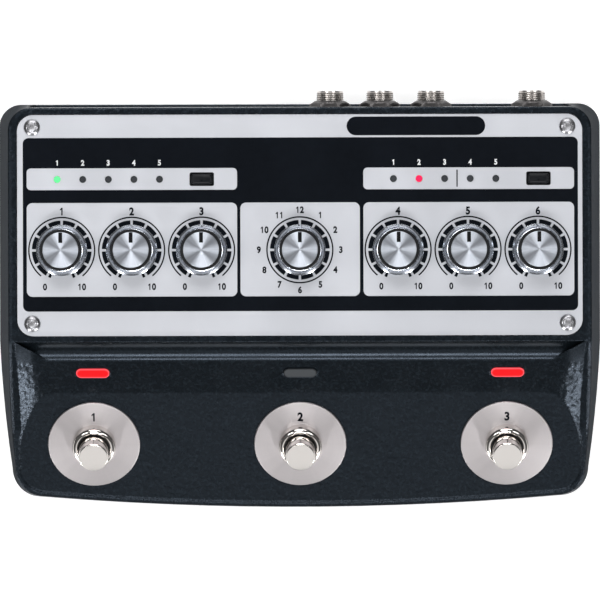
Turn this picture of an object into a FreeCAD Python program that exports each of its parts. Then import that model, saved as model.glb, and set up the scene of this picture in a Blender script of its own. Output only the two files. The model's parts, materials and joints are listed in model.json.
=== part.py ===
import FreeCAD, Part
import math
import os
import Sketcher
from FreeCAD import Placement, Rotation, Vector
from types import SimpleNamespace

# Analog delay pedal, millimetres.
# X runs to the right, Y to the rear (the jack side), Z up.
# The origin is under the middle of the pedal, at the level that its feet stand on.

# Driving dimensions: name, value, what it measures
SIZES = [
    ("case_width", 192.0, "widest, at the foot of the case"),
    ("case_front", 66.2, "middle of the front edge, forward of the origin"),
    ("case_rear", 62.7, "foot of the rear wall, behind the origin"),
    ("case_top", 39.5, "height of the rim around the panel"),
    ("foot_height", 2.0, "rubber feet, under the case"),
    ("wall", 2.5, "casting wall"),
    ("side_draft", 4.3, "lean of each side wall from foot to rim"),
    ("rear_draft", 2.1, "lean of the rear wall"),
    ("front_draft", 1.5, "lean of the front wall, if it went up to the rim"),
    ("rear_corner", 7.0, "rear corner radius in plan"),
    ("front_corner", 9.2, "front corner radius in plan"),
    ("side_taper", 3.9, "how far each side draws in towards the front"),
    ("side_curve", 400.0, "radius of the drawn-in side"),
    ("taper_start", -13.0, "where the sides begin to draw in"),
    ("front_bow", 3.5, "how far the front edge bows out"),
    ("rim_front", -13.05, "front edge of the raised rear half"),
    ("cove_radius", 4.95, "hollow under the rim, above the lamp slope"),
    ("crest_radius", 2.2, "rounding where that hollow meets the lamp slope"),
    ("deck_slope", 24.5, "foot deck, degrees"),
    ("lamp_slope", 36.4, "lamp slope behind the deck, degrees"),
    ("kink_y", -29.2, "where lamp slope and foot deck meet"),
    ("kink_z", 26.0, "height of that line"),
    ("lip", 0.4, "raised lip round the foot deck"),
    ("cheek_end_y", -41.0, "where the side cheeks run out into the lip"),
    ("deck_width", 178.4, "foot deck between the cheeks"),
    ("facet_long", 19.1, "sloping facet in each rear corner of the dish, along the deck"),
    ("facet_in", 5.55, "how far that facet runs inward at its rear end"),
    ("facet_turn", 3.68, "length over which it rounds off into the lamp slope"),
    ("facet_bulge", 48.0, "radius of the facet's outline"),
    ("facet_round", 2.2, "radius of that rounding, over its length"),
    ("brim_facet_long", 4.5, "the same facet's length at the brim of the dish"),
    ("brim_facet_in", 3.9, "how far it runs inward there"),
    ("brim_facet_turn", 0.8, "length over which it rounds off there"),
    ("flare_height", 6.0, "height of the dish wall, square to the deck"),
    ("flare_side", 0.6, "how far that wall leans out at the sides"),
    ("deck_front_gap", 1.8, "lip width at the front edge"),
    ("panel_width", 177.8, "face panel"),
    ("panel_depth", 69.6, "face panel"),
    ("panel_y", 23.6, "middle of the face panel"),
    ("panel_corner", 5.1, "corner radius of the face panel"),
    ("panel_sheet", 1.2, "face panel thickness"),
    ("panel_sink", 0.5, "panel surface below the rim"),
    ("panel_gap", 0.3, "gap between panel and rim"),
    ("floor_thickness", 2.5, "ledge of the casting under the panel"),
    ("ledge_side", 6.9, "width of that ledge at the sides"),
    ("ledge_end", 7.5, "width of that ledge at front and rear"),
    ("panel_screw_x", 84.2, "panel screws from the middle"),
    ("panel_screw_dy", 30.9, "panel screws from the middle of the panel"),
    ("knob_y", 15.8, "row of knobs"),
    ("knob_inner_x", 30.9, "innermost small-group knobs"),
    ("knob_pitch", 22.0, "pitch of the knobs in a group"),
    ("knob_height", 52.0, "top of the knobs, the highest point"),
    ("skirt_radius", 8.1, "knob skirt"),
    ("grip_radius", 6.4, "knob grip"),
    ("cap_radius", 5.6, "spun-metal cap in the knob"),
    ("shaft_radius", 3.0, "potentiometer shaft"),
    ("running_gap", 0.05, "radial clearance of a turning or sliding fit"),
    ("moving_gap", 0.4, "room between pieces that move past each other"),
    ("bush_wall", 0.45, "wall of the potentiometer bushing round its shaft"),
    ("bush_radius", "=shaft_radius + running_gap + bush_wall", "potentiometer bushing thread"),
    ("pot_width", 12.0, "potentiometer body, square"),
    ("pot_height", 6.6, "potentiometer body"),
    ("pot_nut_radius", 5.2, "potentiometer nut, over its corners"),
    ("hole_gap", 0.25, "radial clearance of a screw or bushing hole"),
    ("button_x_left", -30.8, "left panel button"),
    ("button_x_right", 75.1, "right panel button"),
    ("indicator_y", 38.1, "row of small lamps and panel buttons"),
    ("button_long", 6.9, "panel button cap"),
    ("button_short", 3.5, "panel button cap"),
    ("button_gap", 0.4, "gap round a panel button"),
    ("button_proud", 1.6, "panel button above the panel"),
    ("led_radius", 1.0, "small lamps"),
    ("led_pitch", 8.05, "small lamps"),
    ("led_left_x", -76.3, "leftmost lamp of the left row"),
    ("led_right_x", 29.5, "leftmost lamp of the right row"),
    ("lamp_y", -22.9, "pill lamps on the lamp slope"),
    ("lamp_long", 10.4, "pill lamp"),
    ("lamp_short", 3.3, "pill lamp"),
    ("switch_x", 65.5, "outer foot-switches from the middle"),
    ("switch_along", 17.8, "foot-switch axis down the deck from the kink line"),
    ("disc_radius", 14.65, "round plate under a foot-switch"),
    ("disc_sheet", 0.8, "round plate thickness"),
    ("dress_nut_radius", 6.9, "domed nut of a foot-switch"),
    ("dress_nut_height", 3.7, "domed nut of a foot-switch"),
    ("dress_nut_roof", 1.6, "domed nut above the end of the thread"),
    ("switch_bush_radius", 6.0, "foot-switch bushing thread"),
    ("plunger_radius", 4.7, "foot-switch plunger"),
    ("plunger_top", 10.5, "plunger above the deck at rest"),
    ("plunger_travel", 2.0, "foot-switch stroke"),
    ("switch_body", 15.0, "foot-switch housing, square"),
    ("switch_depth", 11.2, "foot-switch housing below the deck"),
    ("jack_x_first", 9.7, "jacks on the rear wall, from the middle"),
    ("jack_x_second", 25.5, "jacks on the rear wall, from the middle"),
    ("jack_x_third", 41.7, "jacks on the rear wall, from the middle"),
    ("jack_x_fourth", 73.7, "jacks on the rear wall, from the middle"),
    ("jack_z", 20.0, "height of the jacks"),
    ("jack_wall_y", 60.9, "flat face that the jack nuts seat on"),
    ("jack_tip_y", 66.2, "end of the jack bushings"),
    ("jack_thread", 4.15, "jack bushing thread radius"),
    ("jack_bore", 3.2, "bore radius for a 6.35 mm plug"),
    ("jack_body_width", 14.0, "jack housing"),
    ("jack_body_height", 12.5, "jack housing"),
    ("jack_body_length", 25.0, "jack housing"),
    ("board", 1.6, "circuit board thickness"),
    ("board_half", 79.0, "half width of the two big boards"),
    ("plate", 1.2, "steel bottom plate"),
    ("plate_gap", 0.3, "gap round the bottom plate"),
    ("post_radius", 3.0, "screw posts of the casting"),
    ("front_post_x", 80.0, "front screw posts from the middle"),
    ("front_post_y", -50.0, "front screw posts"),
    ("screw_radius", 1.5, "M3 screws"),
    ("screw_head", 2.55, "screw head radius"),
    ("dome_height", 1.2, "head of a panel screw"),
    ("pan_height", 1.2, "head of a bottom screw"),
    ("screw_bite", 7.0, "screw length below its head"),
    ("thread_gap", 0.1, "radial gap drawn between a screw and its thread"),
    ("fit_gap", 0.1, "gap of a piece that is held without play"),
    ("foot_radius", 7.5, "rubber foot"),
    ("foot_x", 68.0, "rubber feet from the middle"),
    ("foot_y_rear", 48.0, "rear rubber feet"),
    ("foot_y_front", -45.0, "front rubber feet"),
    ("rear_flat_wide", 172.0, "flat on the rear wall"),
    ("rear_flat_low", 5.5, "lower edge of that flat"),
    ("power_x", -72.0, "power inlet"),
    ("power_radius", 5.0, "power inlet nose"),
    ("data_x", -52.0, "data socket"),
    ("data_wide", 8.0, "data socket shell"),
    ("data_high", 3.0, "data socket shell"),
    ("link_x_first", -32.0, "3.5 mm jacks"),
    ("link_x_second", -16.0, "3.5 mm jacks"),
    ("link_radius", 3.0, "nose of a 3.5 mm jack"),
    ("mode_radius", 8.5, "round case of the mode switch"),
    ("pot_nut_height", 1.8, "potentiometer nut"),
    ("knob_lift", 0.6, "knob above the panel"),
    ("skirt_edge", 0.8, "rim of the knob skirt"),
    ("skirt_rise", 2.0, "slope of the knob skirt"),
    ("cap_sheet", 0.8, "spun-metal cap thickness"),
    ("pointer_wide", 1.0, "pointer line"),
    ("pointer_start", 2.25, "inner end of the pointer line, from the middle"),
    ("pointer_deep", 0.25, "pointer line depth"),
    ("flange", 1.0, "flange that keeps a button or lens in"),
    ("tact_wide", 6.0, "tact switch, square"),
    ("tact_high", 3.6, "tact switch of a panel button"),
    ("tact_stem", 1.7, "stem radius of a panel button"),
    ("tact_stem_length", 2.6, "stem of a panel button"),
    ("led_dome", 0.3, "small lamp above the panel"),
    ("lens_proud", 0.35, "pill lens above the slope"),
    ("lamp_chip", 1.4, "lamp under a pill lens"),
    ("collar_radius", 6.2, "plunger collar"),
    ("collar_top", 4.4, "top of the collar below the deck"),
    ("collar_high", 1.6, "plunger collar"),
    ("tip_radius", 2.0, "tip that presses the tact switch"),
    ("tip_length", 1.4, "tip that presses the tact switch"),
    ("small_board", 1.2, "foot-switch board thickness"),
    ("jack_depth", 30.0, "bore of a 6.35 mm jack"),
    ("jack_nut_radius", 6.6, "nut of a 6.35 mm jack, over its corners"),
    ("jack_nut_height", 2.3, "nut of a 6.35 mm jack"),
    ("link_length", 14.0, "3.5 mm jack housing"),
    ("link_bore", 1.8, "bore radius for a 3.5 mm plug"),
    ("power_length", 14.0, "power inlet housing"),
    ("power_bore", 2.8, "power inlet bore radius"),
    ("power_pin", 1.05, "power inlet pin radius"),
    ("data_length", 9.0, "data socket"),
    ("panel_board_front", -4.0, "front edge of the panel board"),
    ("panel_board_rear", 50.0, "rear edge of the panel board"),
    ("main_board_front", -24.0, "front edge of the main board"),
    ("main_board_rear", 57.0, "rear edge of the main board"),
    ("header_long", 30.0, "board-to-board connector"),
    ("header_x", 30.0, "board-to-board connectors from the middle"),
    ("header_y", 2.0, "board-to-board connectors"),
    ("stand_radius", 2.5, "pillar under the main board"),
    ("stand_x", 74.0, "pillars from the middle"),
    ("stand_y_front", -18.0, "front pillars"),
    ("stand_y_rear", 30.0, "rear pillars"),
    ("chip_x", -66.0, "leftmost delay chip"),
    ("chip_y", 12.0, "front row of chips"),
    ("chip_pitch", 11.0, "pitch of the delay chips"),
    ("chip_row", 13.0, "between the rows of chips"),
    ("processor_x", 8.0, "processor chip"),
    ("can_x", 40.0, "leftmost capacitor"),
    ("can_radius", 3.15, "electrolytic capacitor"),
    ("can_high", 11.0, "electrolytic capacitor"),
]

document = FreeCAD.newDocument("delay_pedal")
sheet = document.addObject("Spreadsheet::Sheet", "sizes")
for row, (name, value, note) in enumerate(SIZES, 1):
    sheet.set(f"A{row}", note)
    sheet.set(f"B{row}", str(value))
    sheet.setAlias(f"B{row}", name)
document.recompute()


class Size:
    """A length or angle: its value now, and its formula in terms of the sheet."""

    def __init__(self, value, formula):
        self.value = value
        self.formula = formula

    def __neg__(self):
        return Size(-self.value, f"-({self.formula})")

    def __add__(self, other):
        other = sized(other)
        return Size(self.value + other.value, f"({self.formula} + {other.formula})")

    def __sub__(self, other):
        other = sized(other)
        return Size(self.value - other.value, f"({self.formula} - {other.formula})")

    def __mul__(self, other):
        other = sized(other)
        return Size(self.value * other.value, f"({self.formula} * {other.formula})")

    def __truediv__(self, other):
        other = sized(other)
        return Size(self.value / other.value, f"({self.formula} / {other.formula})")

    def __radd__(self, other):
        return sized(other) + self

    def __rsub__(self, other):
        return sized(other) - self

    def __rmul__(self, other):
        return sized(other) * self


def sized(number):
    if isinstance(number, Size):
        return number
    return Size(float(number), f"({number})")


def cell(name):
    return Size(float(sheet.get(name)), f"sizes.{name}")


def sine(angle):
    return Size(math.sin(math.radians(angle.value)), f"sin({angle.formula})")


def cosine(angle):
    return Size(math.cos(math.radians(angle.value)), f"cos({angle.formula})")


def tangent(angle):
    return Size(math.tan(math.radians(angle.value)), f"tan({angle.formula})")


size = SimpleNamespace(**{name: cell(name) for name, value, note in SIZES})


def bind(thing, prop, length):
    thing.setExpression(prop, sized(length).formula)


def place(thing, x=0, y=0, z=0, tilt=None, prop="Placement"):
    """Put an object at x, y, z, tilted about X by an angle in degrees."""
    if tilt is not None:
        axis = Vector(1, 0, 0)
        if tilt.value < 0:
            axis = Vector(-1, 0, 0)
            tilt = -tilt
        setattr(thing, prop, Placement(Vector(), Rotation(axis, tilt.value)))
        bind(thing, f"{prop}.Rotation.Angle", tilt)
    for letter, length in zip("xyz", (x, y, z)):
        bind(thing, f"{prop}.Base.{letter}", length)
    return thing


def new_body(label):
    body = document.addObject("PartDesign::Body", label)
    body.Label = label
    return body


def sketch_on(body, role, name, y=0, z=0, tilt=None):
    """A sketch on one of the body's own origin planes, moved or tilted off it."""
    plane = [feature for feature in body.Origin.OriginFeatures if feature.Role == role][0]
    sketch = body.newObject("Sketcher::SketchObject", name)
    sketch.AttachmentSupport = (plane, [""])
    sketch.MapMode = "FlatFace"
    return place(sketch, 0, y, z, tilt=tilt, prop="AttachmentOffset")


def fix(sketch, kind, index, position, length):
    """Tie the x or y of a point of the sketch to a formula."""
    length = sized(length)
    number = sketch.addConstraint(
        Sketcher.Constraint(kind, -1, 1, index, position, length.value)
    )
    bind(sketch, f"Constraints[{number}]", length)


def fix_radius(sketch, index, radius):
    number = sketch.addConstraint(Sketcher.Constraint("Radius", index, radius.value))
    bind(sketch, f"Constraints[{number}]", radius)


def arc_between(start, end, radius):
    """The short arc that bulges to the right of the way, or to the left if radius is negative."""
    chord = end - start
    half = chord.Length / 2
    sagitta = abs(radius) - math.sqrt(max(radius * radius - half * half, 0.0))
    right = Vector(chord.y, -chord.x).normalize()
    middle = (start + end) / 2 + right * math.copysign(sagitta, radius)
    if radius < 0:
        start, end = end, start
    return Part.Arc(start, middle, end)


def draw(sketch, stops):
    """Close an outline through stops: (x, y) ends a straight run, (x, y, radius) an arc."""
    spots = [Vector(sized(stop[0]).value, sized(stop[1]).value) for stop in stops]
    ends = []
    for number, stop in enumerate(stops):
        start, end = spots[number - 1], spots[number]
        if len(stop) == 2:
            index = sketch.addGeometry(Part.LineSegment(start, end))
        else:
            index = sketch.addGeometry(arc_between(start, end, sized(stop[2]).value))
        kept = sketch.Geometry[index]
        forward = (kept.StartPoint - start).Length < (kept.EndPoint - start).Length
        ends.append((index, 1, 2) if forward else (index, 2, 1))
    for number, stop in enumerate(stops):
        index, first, last = ends[number]
        after, after_first, after_last = ends[(number + 1) % len(stops)]
        sketch.addConstraint(Sketcher.Constraint("Coincident", index, last, after, after_first))
        fix(sketch, "DistanceX", index, last, stop[0])
        fix(sketch, "DistanceY", index, last, stop[1])
        if len(stop) == 3:
            radius = sized(stop[2])
            fix_radius(sketch, index, radius if radius.value > 0 else -radius)


def ring(sketch, x, y, radius):
    centre = Vector(sized(x).value, sized(y).value)
    index = sketch.addGeometry(Part.Circle(centre, Vector(0, 0, 1), radius.value))
    fix(sketch, "DistanceX", index, 3, x)
    fix(sketch, "DistanceY", index, 3, y)
    fix_radius(sketch, index, radius)


def rectangle(sketch, x, y, wide, deep, corner=None):
    left, right = x - wide / 2, x + wide / 2
    low, high = y - deep / 2, y + deep / 2
    if corner is None:
        draw(sketch, [(right, low), (right, high), (left, high), (left, low)])
        return
    draw(sketch, [
        (right - corner, low),
        (right, low + corner, corner),
        (right, high - corner),
        (right - corner, high, corner),
        (left + corner, high),
        (left, high - corner, corner),
        (left, low + corner),
        (left + corner, low, corner),
    ])


def pad(body, sketch, length, both=False, reverse=False):
    feature = body.newObject("PartDesign::Pad", f"{sketch.Name}_pad")
    feature.Profile = sketch
    feature.SideType = "Symmetric" if both else "One side"
    feature.Reversed = reverse
    bind(feature, "Length", length)
    return feature


def pocket(body, sketch, length, both=False, reverse=False):
    feature = body.newObject("PartDesign::Pocket", f"{sketch.Name}_pocket")
    feature.Profile = sketch
    feature.SideType = "Symmetric" if both else "One side"
    feature.Reversed = reverse
    bind(feature, "Length", length)
    return feature


def revolve(body, sketch):
    feature = body.newObject("PartDesign::Revolution", f"{sketch.Name}_turn")
    feature.Profile = sketch
    feature.ReferenceAxis = (sketch, ["V_Axis"])
    feature.Angle = 360
    return feature


def loft(body, lower, upper):
    feature = body.newObject("PartDesign::AdditiveLoft", f"{lower.Name}_loft")
    feature.Profile = lower
    feature.Sections = [upper]
    feature.Ruled = True
    return feature


def turned(label, stops):
    """A body turned about Z from a profile of (radius, height) stops."""
    body = new_body(label)
    sketch = sketch_on(body, "XZ_Plane", f"{label}_profile")
    draw(sketch, stops)
    revolve(body, sketch)
    return body


def cylinder(label, radius, height, x=0, y=0, z=0):
    thing = document.addObject("Part::Cylinder", label)
    bind(thing, "Radius", radius)
    bind(thing, "Height", height)
    return place(thing, x, y, z)


def block(label, wide, deep, high, x=0, y=0, z=0):
    """A box centred on x and y, standing on z."""
    thing = document.addObject("Part::Box", label)
    bind(thing, "Length", wide)
    bind(thing, "Width", deep)
    bind(thing, "Height", high)
    return place(thing, x - sized(wide) / 2, y - sized(deep) / 2, z)


def join(label, things):
    whole = document.addObject("Part::MultiFuse", label)
    whole.Shapes = things
    return whole


def cut(label, base, tool):
    whole = document.addObject("Part::Cut", label)
    whole.Base = base
    whole.Tool = tool
    return whole


def overlap(label, first, second):
    whole = document.addObject("Part::MultiCommon", label)
    whole.Shapes = [first, second]
    return whole


def copies(label, master, spots):
    """One node of separate solids: the master at each spot, given as place() takes it."""
    links = []
    for number, spot in enumerate(spots, 1):
        link = document.addObject("App::Link", f"{label}_{number}")
        link.LinkedObject = master
        link.LinkTransform = True
        place(link, **spot)
        links.append(link)
    whole = document.addObject("Part::Compound", label)
    whole.Links = links
    return whole


nodes = {}


def node(label, thing):
    thing.Label = label
    nodes[label] = thing
    return thing


# Heights and lines that several pieces share
foot = size.foot_height
rim = size.case_top
panel_top = rim - size.panel_sink
panel_under = panel_top - size.panel_sheet
ceiling = panel_under - size.floor_thickness
plate_top = foot + size.plate
crest_y = size.rim_front - size.cove_radius
crest_z = size.kink_z + (crest_y - size.kink_y) * tangent(size.lamp_slope)
deck_cos = cosine(size.deck_slope)
deck_sin = sine(size.deck_slope)
deck_tan = tangent(size.deck_slope)
post_spots = [
    (side * size.panel_screw_x, size.panel_y + along * size.panel_screw_dy)
    for side in (-1, 1)
    for along in (-1, 1)
]
front_post_spots = [(side * size.front_post_x, size.front_post_y) for side in (-1, 1)]
knob_x = [
    -size.knob_inner_x - size.knob_pitch * 2,
    -size.knob_inner_x - size.knob_pitch,
    -size.knob_inner_x,
    sized(0),
    size.knob_inner_x,
    size.knob_inner_x + size.knob_pitch,
    size.knob_inner_x + size.knob_pitch * 2,
]
led_x = [start + size.led_pitch * step for start in (size.led_left_x, size.led_right_x) for step in range(5)]
switch_x = [-size.switch_x, sized(0), size.switch_x]
jack_x = [size.jack_x_first, size.jack_x_second, size.jack_x_third, size.jack_x_fourth]
lamp_z = size.kink_z + (size.lamp_y - size.kink_y) * tangent(size.lamp_slope)
jack_seat = size.jack_wall_y - size.wall
panel_board_top = panel_under - size.pot_height
main_board_top = size.jack_z - size.jack_body_height / 2
bush_top = panel_top + size.pot_nut_height
shaft_foot = panel_board_top + 1.2
shaft_top = size.knob_height - size.cap_sheet - 1.2
knob_roof = bush_top + size.moving_gap
knob_hollow = size.pot_nut_radius + size.moving_gap
switch_bush_top = size.disc_sheet + size.dress_nut_height - size.dress_nut_roof
plunger_foot = size.collar_top + size.collar_high + size.tip_length
deck_axis = [
    dict(
        x=x,
        y=size.kink_y - size.switch_along * deck_cos,
        z=size.kink_z - size.switch_along * deck_sin,
        tilt=size.deck_slope,
    )
    for x in switch_x
]


def deck_z(y):
    """Height of the foot deck at y."""
    return size.kink_z + (y - size.kink_y) * deck_tan


def case_plan(sketch, inset, raised, inside=False):
    """Plan of the case, inset from its foot line; raised is 0 at the foot and 1 at the rim.

    The hollow inside has straight corners, where the casting is thicker.
    """
    half = size.case_width / 2 - size.side_draft * raised - inset
    rear = size.case_rear - size.rear_draft * raised - inset
    front = size.front_draft * raised + inset - size.case_front
    back_corner = size.rear_corner - inset
    corner = size.front_corner - inset
    narrow = half - size.side_taper
    bow_half = narrow - corner
    bow_y = front + size.front_bow
    bow_radius = (bow_half * bow_half + size.front_bow * size.front_bow) / (size.front_bow * 2)
    front_turn = () if inside else (corner,)
    rear_turn = () if inside else (back_corner,)
    draw(sketch, [
        (bow_half, bow_y, bow_radius),
        (narrow, bow_y + corner, *front_turn),
        (half, size.taper_start, size.side_curve),
        (half, rear - back_corner),
        (half - back_corner, rear, *rear_turn),
        (back_corner - half, rear),
        (-half, rear - back_corner, *rear_turn),
        (-half, size.taper_start),
        (-narrow, bow_y + corner, size.side_curve),
        (-bow_half, bow_y, *front_turn),
    ])


def case_blank(label, inset, top, inside=False):
    """The drafted block of the case up to a height."""
    body = new_body(label)
    lower = sketch_on(body, "XY_Plane", f"{label}_foot", z=foot)
    case_plan(lower, inset, sized(0), inside)
    upper = sketch_on(body, "XY_Plane", f"{label}_top", z=top)
    case_plan(upper, inset, (top - foot) / (rim - foot), inside)
    loft(body, lower, upper)
    return body


def cut_above(body, line, top):
    """Cut away everything above a side-view line of (y, z) stops, over the full width."""
    sketch = sketch_on(body, "YZ_Plane", f"{body.Name}_side")
    over = top + 1
    draw(sketch, [(line[0][0], over), *line, (line[-1][0], over)])
    pocket(body, sketch, size.case_width + 2, both=True)


def deck_plan(sketch, lean, rear, facet, inward, turn):
    """Plan of the dished foot deck, in the deck's own slope, from its kink line.

    Each rear corner is a facet, facet long down the deck, that runs inward
    towards the rear and rounds off into the lamp slope over the length turn.
    """
    half = size.deck_width / 2 + lean
    front_corner = size.front_corner - size.deck_front_gap / 2
    front = (size.deck_front_gap - size.case_front - size.kink_y) / deck_cos
    bow = size.front_bow / deck_cos
    bow_half = half - front_corner
    bow_radius = (bow_half * bow_half + bow * bow) / (bow * 2)
    draw(sketch, [
        (bow_half, front + bow, bow_radius),
        (half, front + bow + front_corner, front_corner),
        (half, rear - facet),
        (half - inward, rear - turn, size.facet_bulge),
        (half - inward - turn * 2, rear, turn * size.facet_round),
        (inward + turn * 2 - half, rear),
        (inward - half, rear - turn, turn * size.facet_round),
        (-half, rear - facet, size.facet_bulge),
        (-half, front + bow + front_corner),
        (-bow_half, front + bow, front_corner),
    ])


def deck_tool():
    """What the dish of the foot deck and the lamp slope take out of the blank."""
    body = new_body("dish")
    lower = sketch_on(body, "XY_Plane", "dish_floor", size.kink_y, size.kink_z, size.deck_slope)
    deck_plan(lower, sized(0), sized(0), size.facet_long, size.facet_in, size.facet_turn)
    height = size.flare_height
    upper = sketch_on(
        body, "XY_Plane", "dish_brim",
        size.kink_y - height * deck_sin, size.kink_z + height * deck_cos, size.deck_slope,
    )
    rise = height / tangent(size.lamp_slope - size.deck_slope)
    deck_plan(
        upper, size.flare_side, rise, size.brim_facet_long, size.brim_facet_in, size.brim_facet_turn,
    )
    loft(body, lower, upper)
    guard = block("rim_guard", size.case_width, 40, rim * 2, 0, size.rim_front + 20, 0)
    return cut("dish_tool", body, guard)


def cove_tool():
    """The hollow under the rim, whose ends sweep up to the corners of the rim."""
    half = size.deck_width / 2 + size.flare_side
    turn = size.crest_radius
    low = crest_z + turn - turn / cosine(size.lamp_slope)
    front = crest_y - turn * sine(size.lamp_slope)
    body = new_body("cove")
    sketch = sketch_on(body, "YZ_Plane", "cove_side")
    draw(sketch, [
        (size.rim_front, rim + 1),
        (front, rim + 1),
        (front, low - turn * (1 - cosine(size.lamp_slope))),
        (crest_y, low, -turn),
        (size.rim_front, low + size.cove_radius, size.cove_radius),
    ])
    pad(body, sketch, half * 2, both=True)
    ends = sketch_on(body, "XY_Plane", "cove_ends")
    sweep = size.cove_radius * 2.2
    for side in (-1, 1):
        outer = half * side
        draw(ends, [
            (outer - sweep * side, front - 1),
            (outer + side, front - 1),
            (outer + side, size.rim_front),
            (outer, size.rim_front),
            (outer - sweep * side, front),
        ])
    pocket(body, ends, rim + 2, reverse=True)
    return body


def cavity():
    """The hollow inside of the case, open below."""
    body = case_blank("hollow", size.wall, ceiling, inside=True)
    mean_slope = (size.lamp_slope + size.deck_slope) / 2
    far = -size.case_front - 5
    cut_above(body, [
        (size.rim_front + size.wall, ceiling),
        (crest_y + size.wall * sine(size.lamp_slope), crest_z - size.wall * cosine(size.lamp_slope)),
        (size.kink_y + size.wall * sine(mean_slope), size.kink_z - size.wall * cosine(mean_slope)),
        (far, deck_z(far) - size.wall / deck_cos),
    ], ceiling)
    return body


def panel_recess():
    body = new_body("panel_recess")
    sketch = sketch_on(body, "XY_Plane", "recess_plan", z=panel_under)
    rectangle(
        sketch, sized(0), size.panel_y,
        size.panel_width + size.panel_gap * 2, size.panel_depth + size.panel_gap * 2,
        size.panel_corner + size.panel_gap,
    )
    pad(body, sketch, rim)
    return body


def openings(sketch, bush_gap, lamp_gap, screw_gap):
    """Plan of everything that passes through the panel and the casting under it."""
    for x in knob_x:
        ring(sketch, x, size.knob_y, size.bush_radius + bush_gap)
    for x in led_x:
        ring(sketch, x, size.indicator_y, size.led_radius + lamp_gap)
    for x in (size.button_x_left, size.button_x_right):
        rectangle(
            sketch, x, size.indicator_y,
            size.button_long + size.button_gap * 2, size.button_short + size.button_gap * 2,
            sized(0.6),
        )
    for x, y in post_spots:
        ring(sketch, x, y, size.screw_radius + screw_gap)


def window():
    """The opening under the panel, inside the ledge that the panel rests on."""
    body = new_body("window")
    sketch = sketch_on(body, "XY_Plane", "window_plan", z=ceiling - 1)
    rectangle(
        sketch, sized(0), size.panel_y,
        size.panel_width - size.ledge_side * 2, size.panel_depth - size.ledge_end * 2, sized(2),
    )
    pad(body, sketch, size.floor_thickness + 2)
    return body


def post_holes():
    """Threaded holes down the posts: the panel screws enter from above, the plate's from below."""
    body = new_body("post_holes")
    sketch = sketch_on(body, "XY_Plane", "post_openings", z=foot)
    for x, y in post_spots:
        ring(sketch, x, y, size.screw_radius + size.thread_gap)
    pad(body, sketch, rim)
    short = sketch_on(body, "XY_Plane", "short_openings", z=foot)
    for x, y in front_post_spots:
        ring(short, x, y, size.screw_radius + size.thread_gap)
    pad(body, short, size.plate + size.screw_bite)
    return body


def deck_holes():
    body = new_body("deck_holes")
    sketch = sketch_on(
        body, "XY_Plane", "deck_openings", size.kink_y, size.kink_z, size.deck_slope
    )
    for x in switch_x:
        ring(sketch, x, -size.switch_along, size.switch_bush_radius + size.hole_gap)
    pad(body, sketch, size.wall * 4, both=True)
    return body


def pill(sketch, x, long, short):
    rectangle(sketch, x, sized(0), long, short, short / 2 - 0.01)


def lamp_holes():
    body = new_body("lamp_holes")
    sketch = sketch_on(body, "XY_Plane", "lamp_openings", size.lamp_y, lamp_z, size.lamp_slope)
    for x in switch_x:
        pill(sketch, x, size.lamp_long + size.fit_gap * 2, size.lamp_short + size.fit_gap * 2)
    pad(body, sketch, size.wall * 4, both=True)
    return body


def rear_holes():
    body = new_body("rear_holes")
    sketch = sketch_on(body, "XZ_Plane", "rear_openings", z=-size.jack_wall_y)
    for x in jack_x:
        ring(sketch, x, size.jack_z, size.jack_thread + size.hole_gap)
    for x in (size.link_x_first, size.link_x_second):
        ring(sketch, x, size.jack_z, size.link_radius + size.hole_gap)
    ring(sketch, size.power_x, size.jack_z, size.power_radius + size.hole_gap)
    rectangle(
        sketch, size.data_x, size.jack_z,
        size.data_wide + size.hole_gap * 2, size.data_high + size.hole_gap * 2, sized(0.5),
    )
    pad(body, sketch, size.wall * 4, both=True)
    return body


def rear_recess():
    """The flat that the jack nuts seat on, cut into the leaning rear wall."""
    body = new_body("rear_recess")
    sketch = sketch_on(body, "XZ_Plane", "rear_flat", z=-size.jack_wall_y)
    low = size.rear_flat_low
    rectangle(sketch, sized(0), (low + rim) / 2, size.rear_flat_wide, rim - low, sized(3))
    pad(body, sketch, sized(5), reverse=True)
    return body


def top_case():
    blank = case_blank("blank", sized(0), rim)
    lip_rise = size.lip / deck_cos
    far = -size.case_front - 5
    cut_above(blank, [
        (size.rim_front, rim),
        (size.cheek_end_y, deck_z(size.cheek_end_y) + lip_rise),
        (far, deck_z(far) + lip_rise),
    ], rim)
    outer = cut("outer_form", blank, join("dished", [deck_tool(), cove_tool(), panel_recess()]))
    shell = cut("shell", outer, cavity())
    posts = [
        cylinder(f"post_{number}", size.post_radius, rim, x, y, plate_top)
        for number, (x, y) in enumerate(post_spots + front_post_spots, 1)
    ]
    filled = overlap("posts", join("post_row", posts), outer)
    backing = block(
        "jack_backing", size.rear_flat_wide, size.wall, size.jack_z,
        0, jack_seat + size.wall / 2, size.jack_z / 2,
    )
    casting = join("casting", [shell, filled, backing])
    holes = join("holes", [
        window(), post_holes(), deck_holes(), lamp_holes(), rear_holes(), rear_recess(),
    ])
    node("top_case", cut("top_case", casting, holes))


def bottom_plate():
    body = new_body("bottom_plate")
    sketch = sketch_on(body, "XY_Plane", "plate_plan", z=foot)
    case_plan(sketch, size.wall + size.plate_gap, sized(0), inside=True)
    for x, y in post_spots + front_post_spots:
        ring(sketch, x, y, size.screw_radius + size.hole_gap)
    pad(body, sketch, size.plate)
    node("bottom_plate", body)


def face_panel():
    body = new_body("face_panel")
    sketch = sketch_on(body, "XY_Plane", "panel_plan", z=panel_under)
    rectangle(
        sketch, sized(0), size.panel_y, size.panel_width, size.panel_depth, size.panel_corner
    )
    openings(sketch, size.fit_gap, size.fit_gap, size.hole_gap)
    pad(body, sketch, size.panel_sheet)
    node("face_panel", body)


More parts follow.
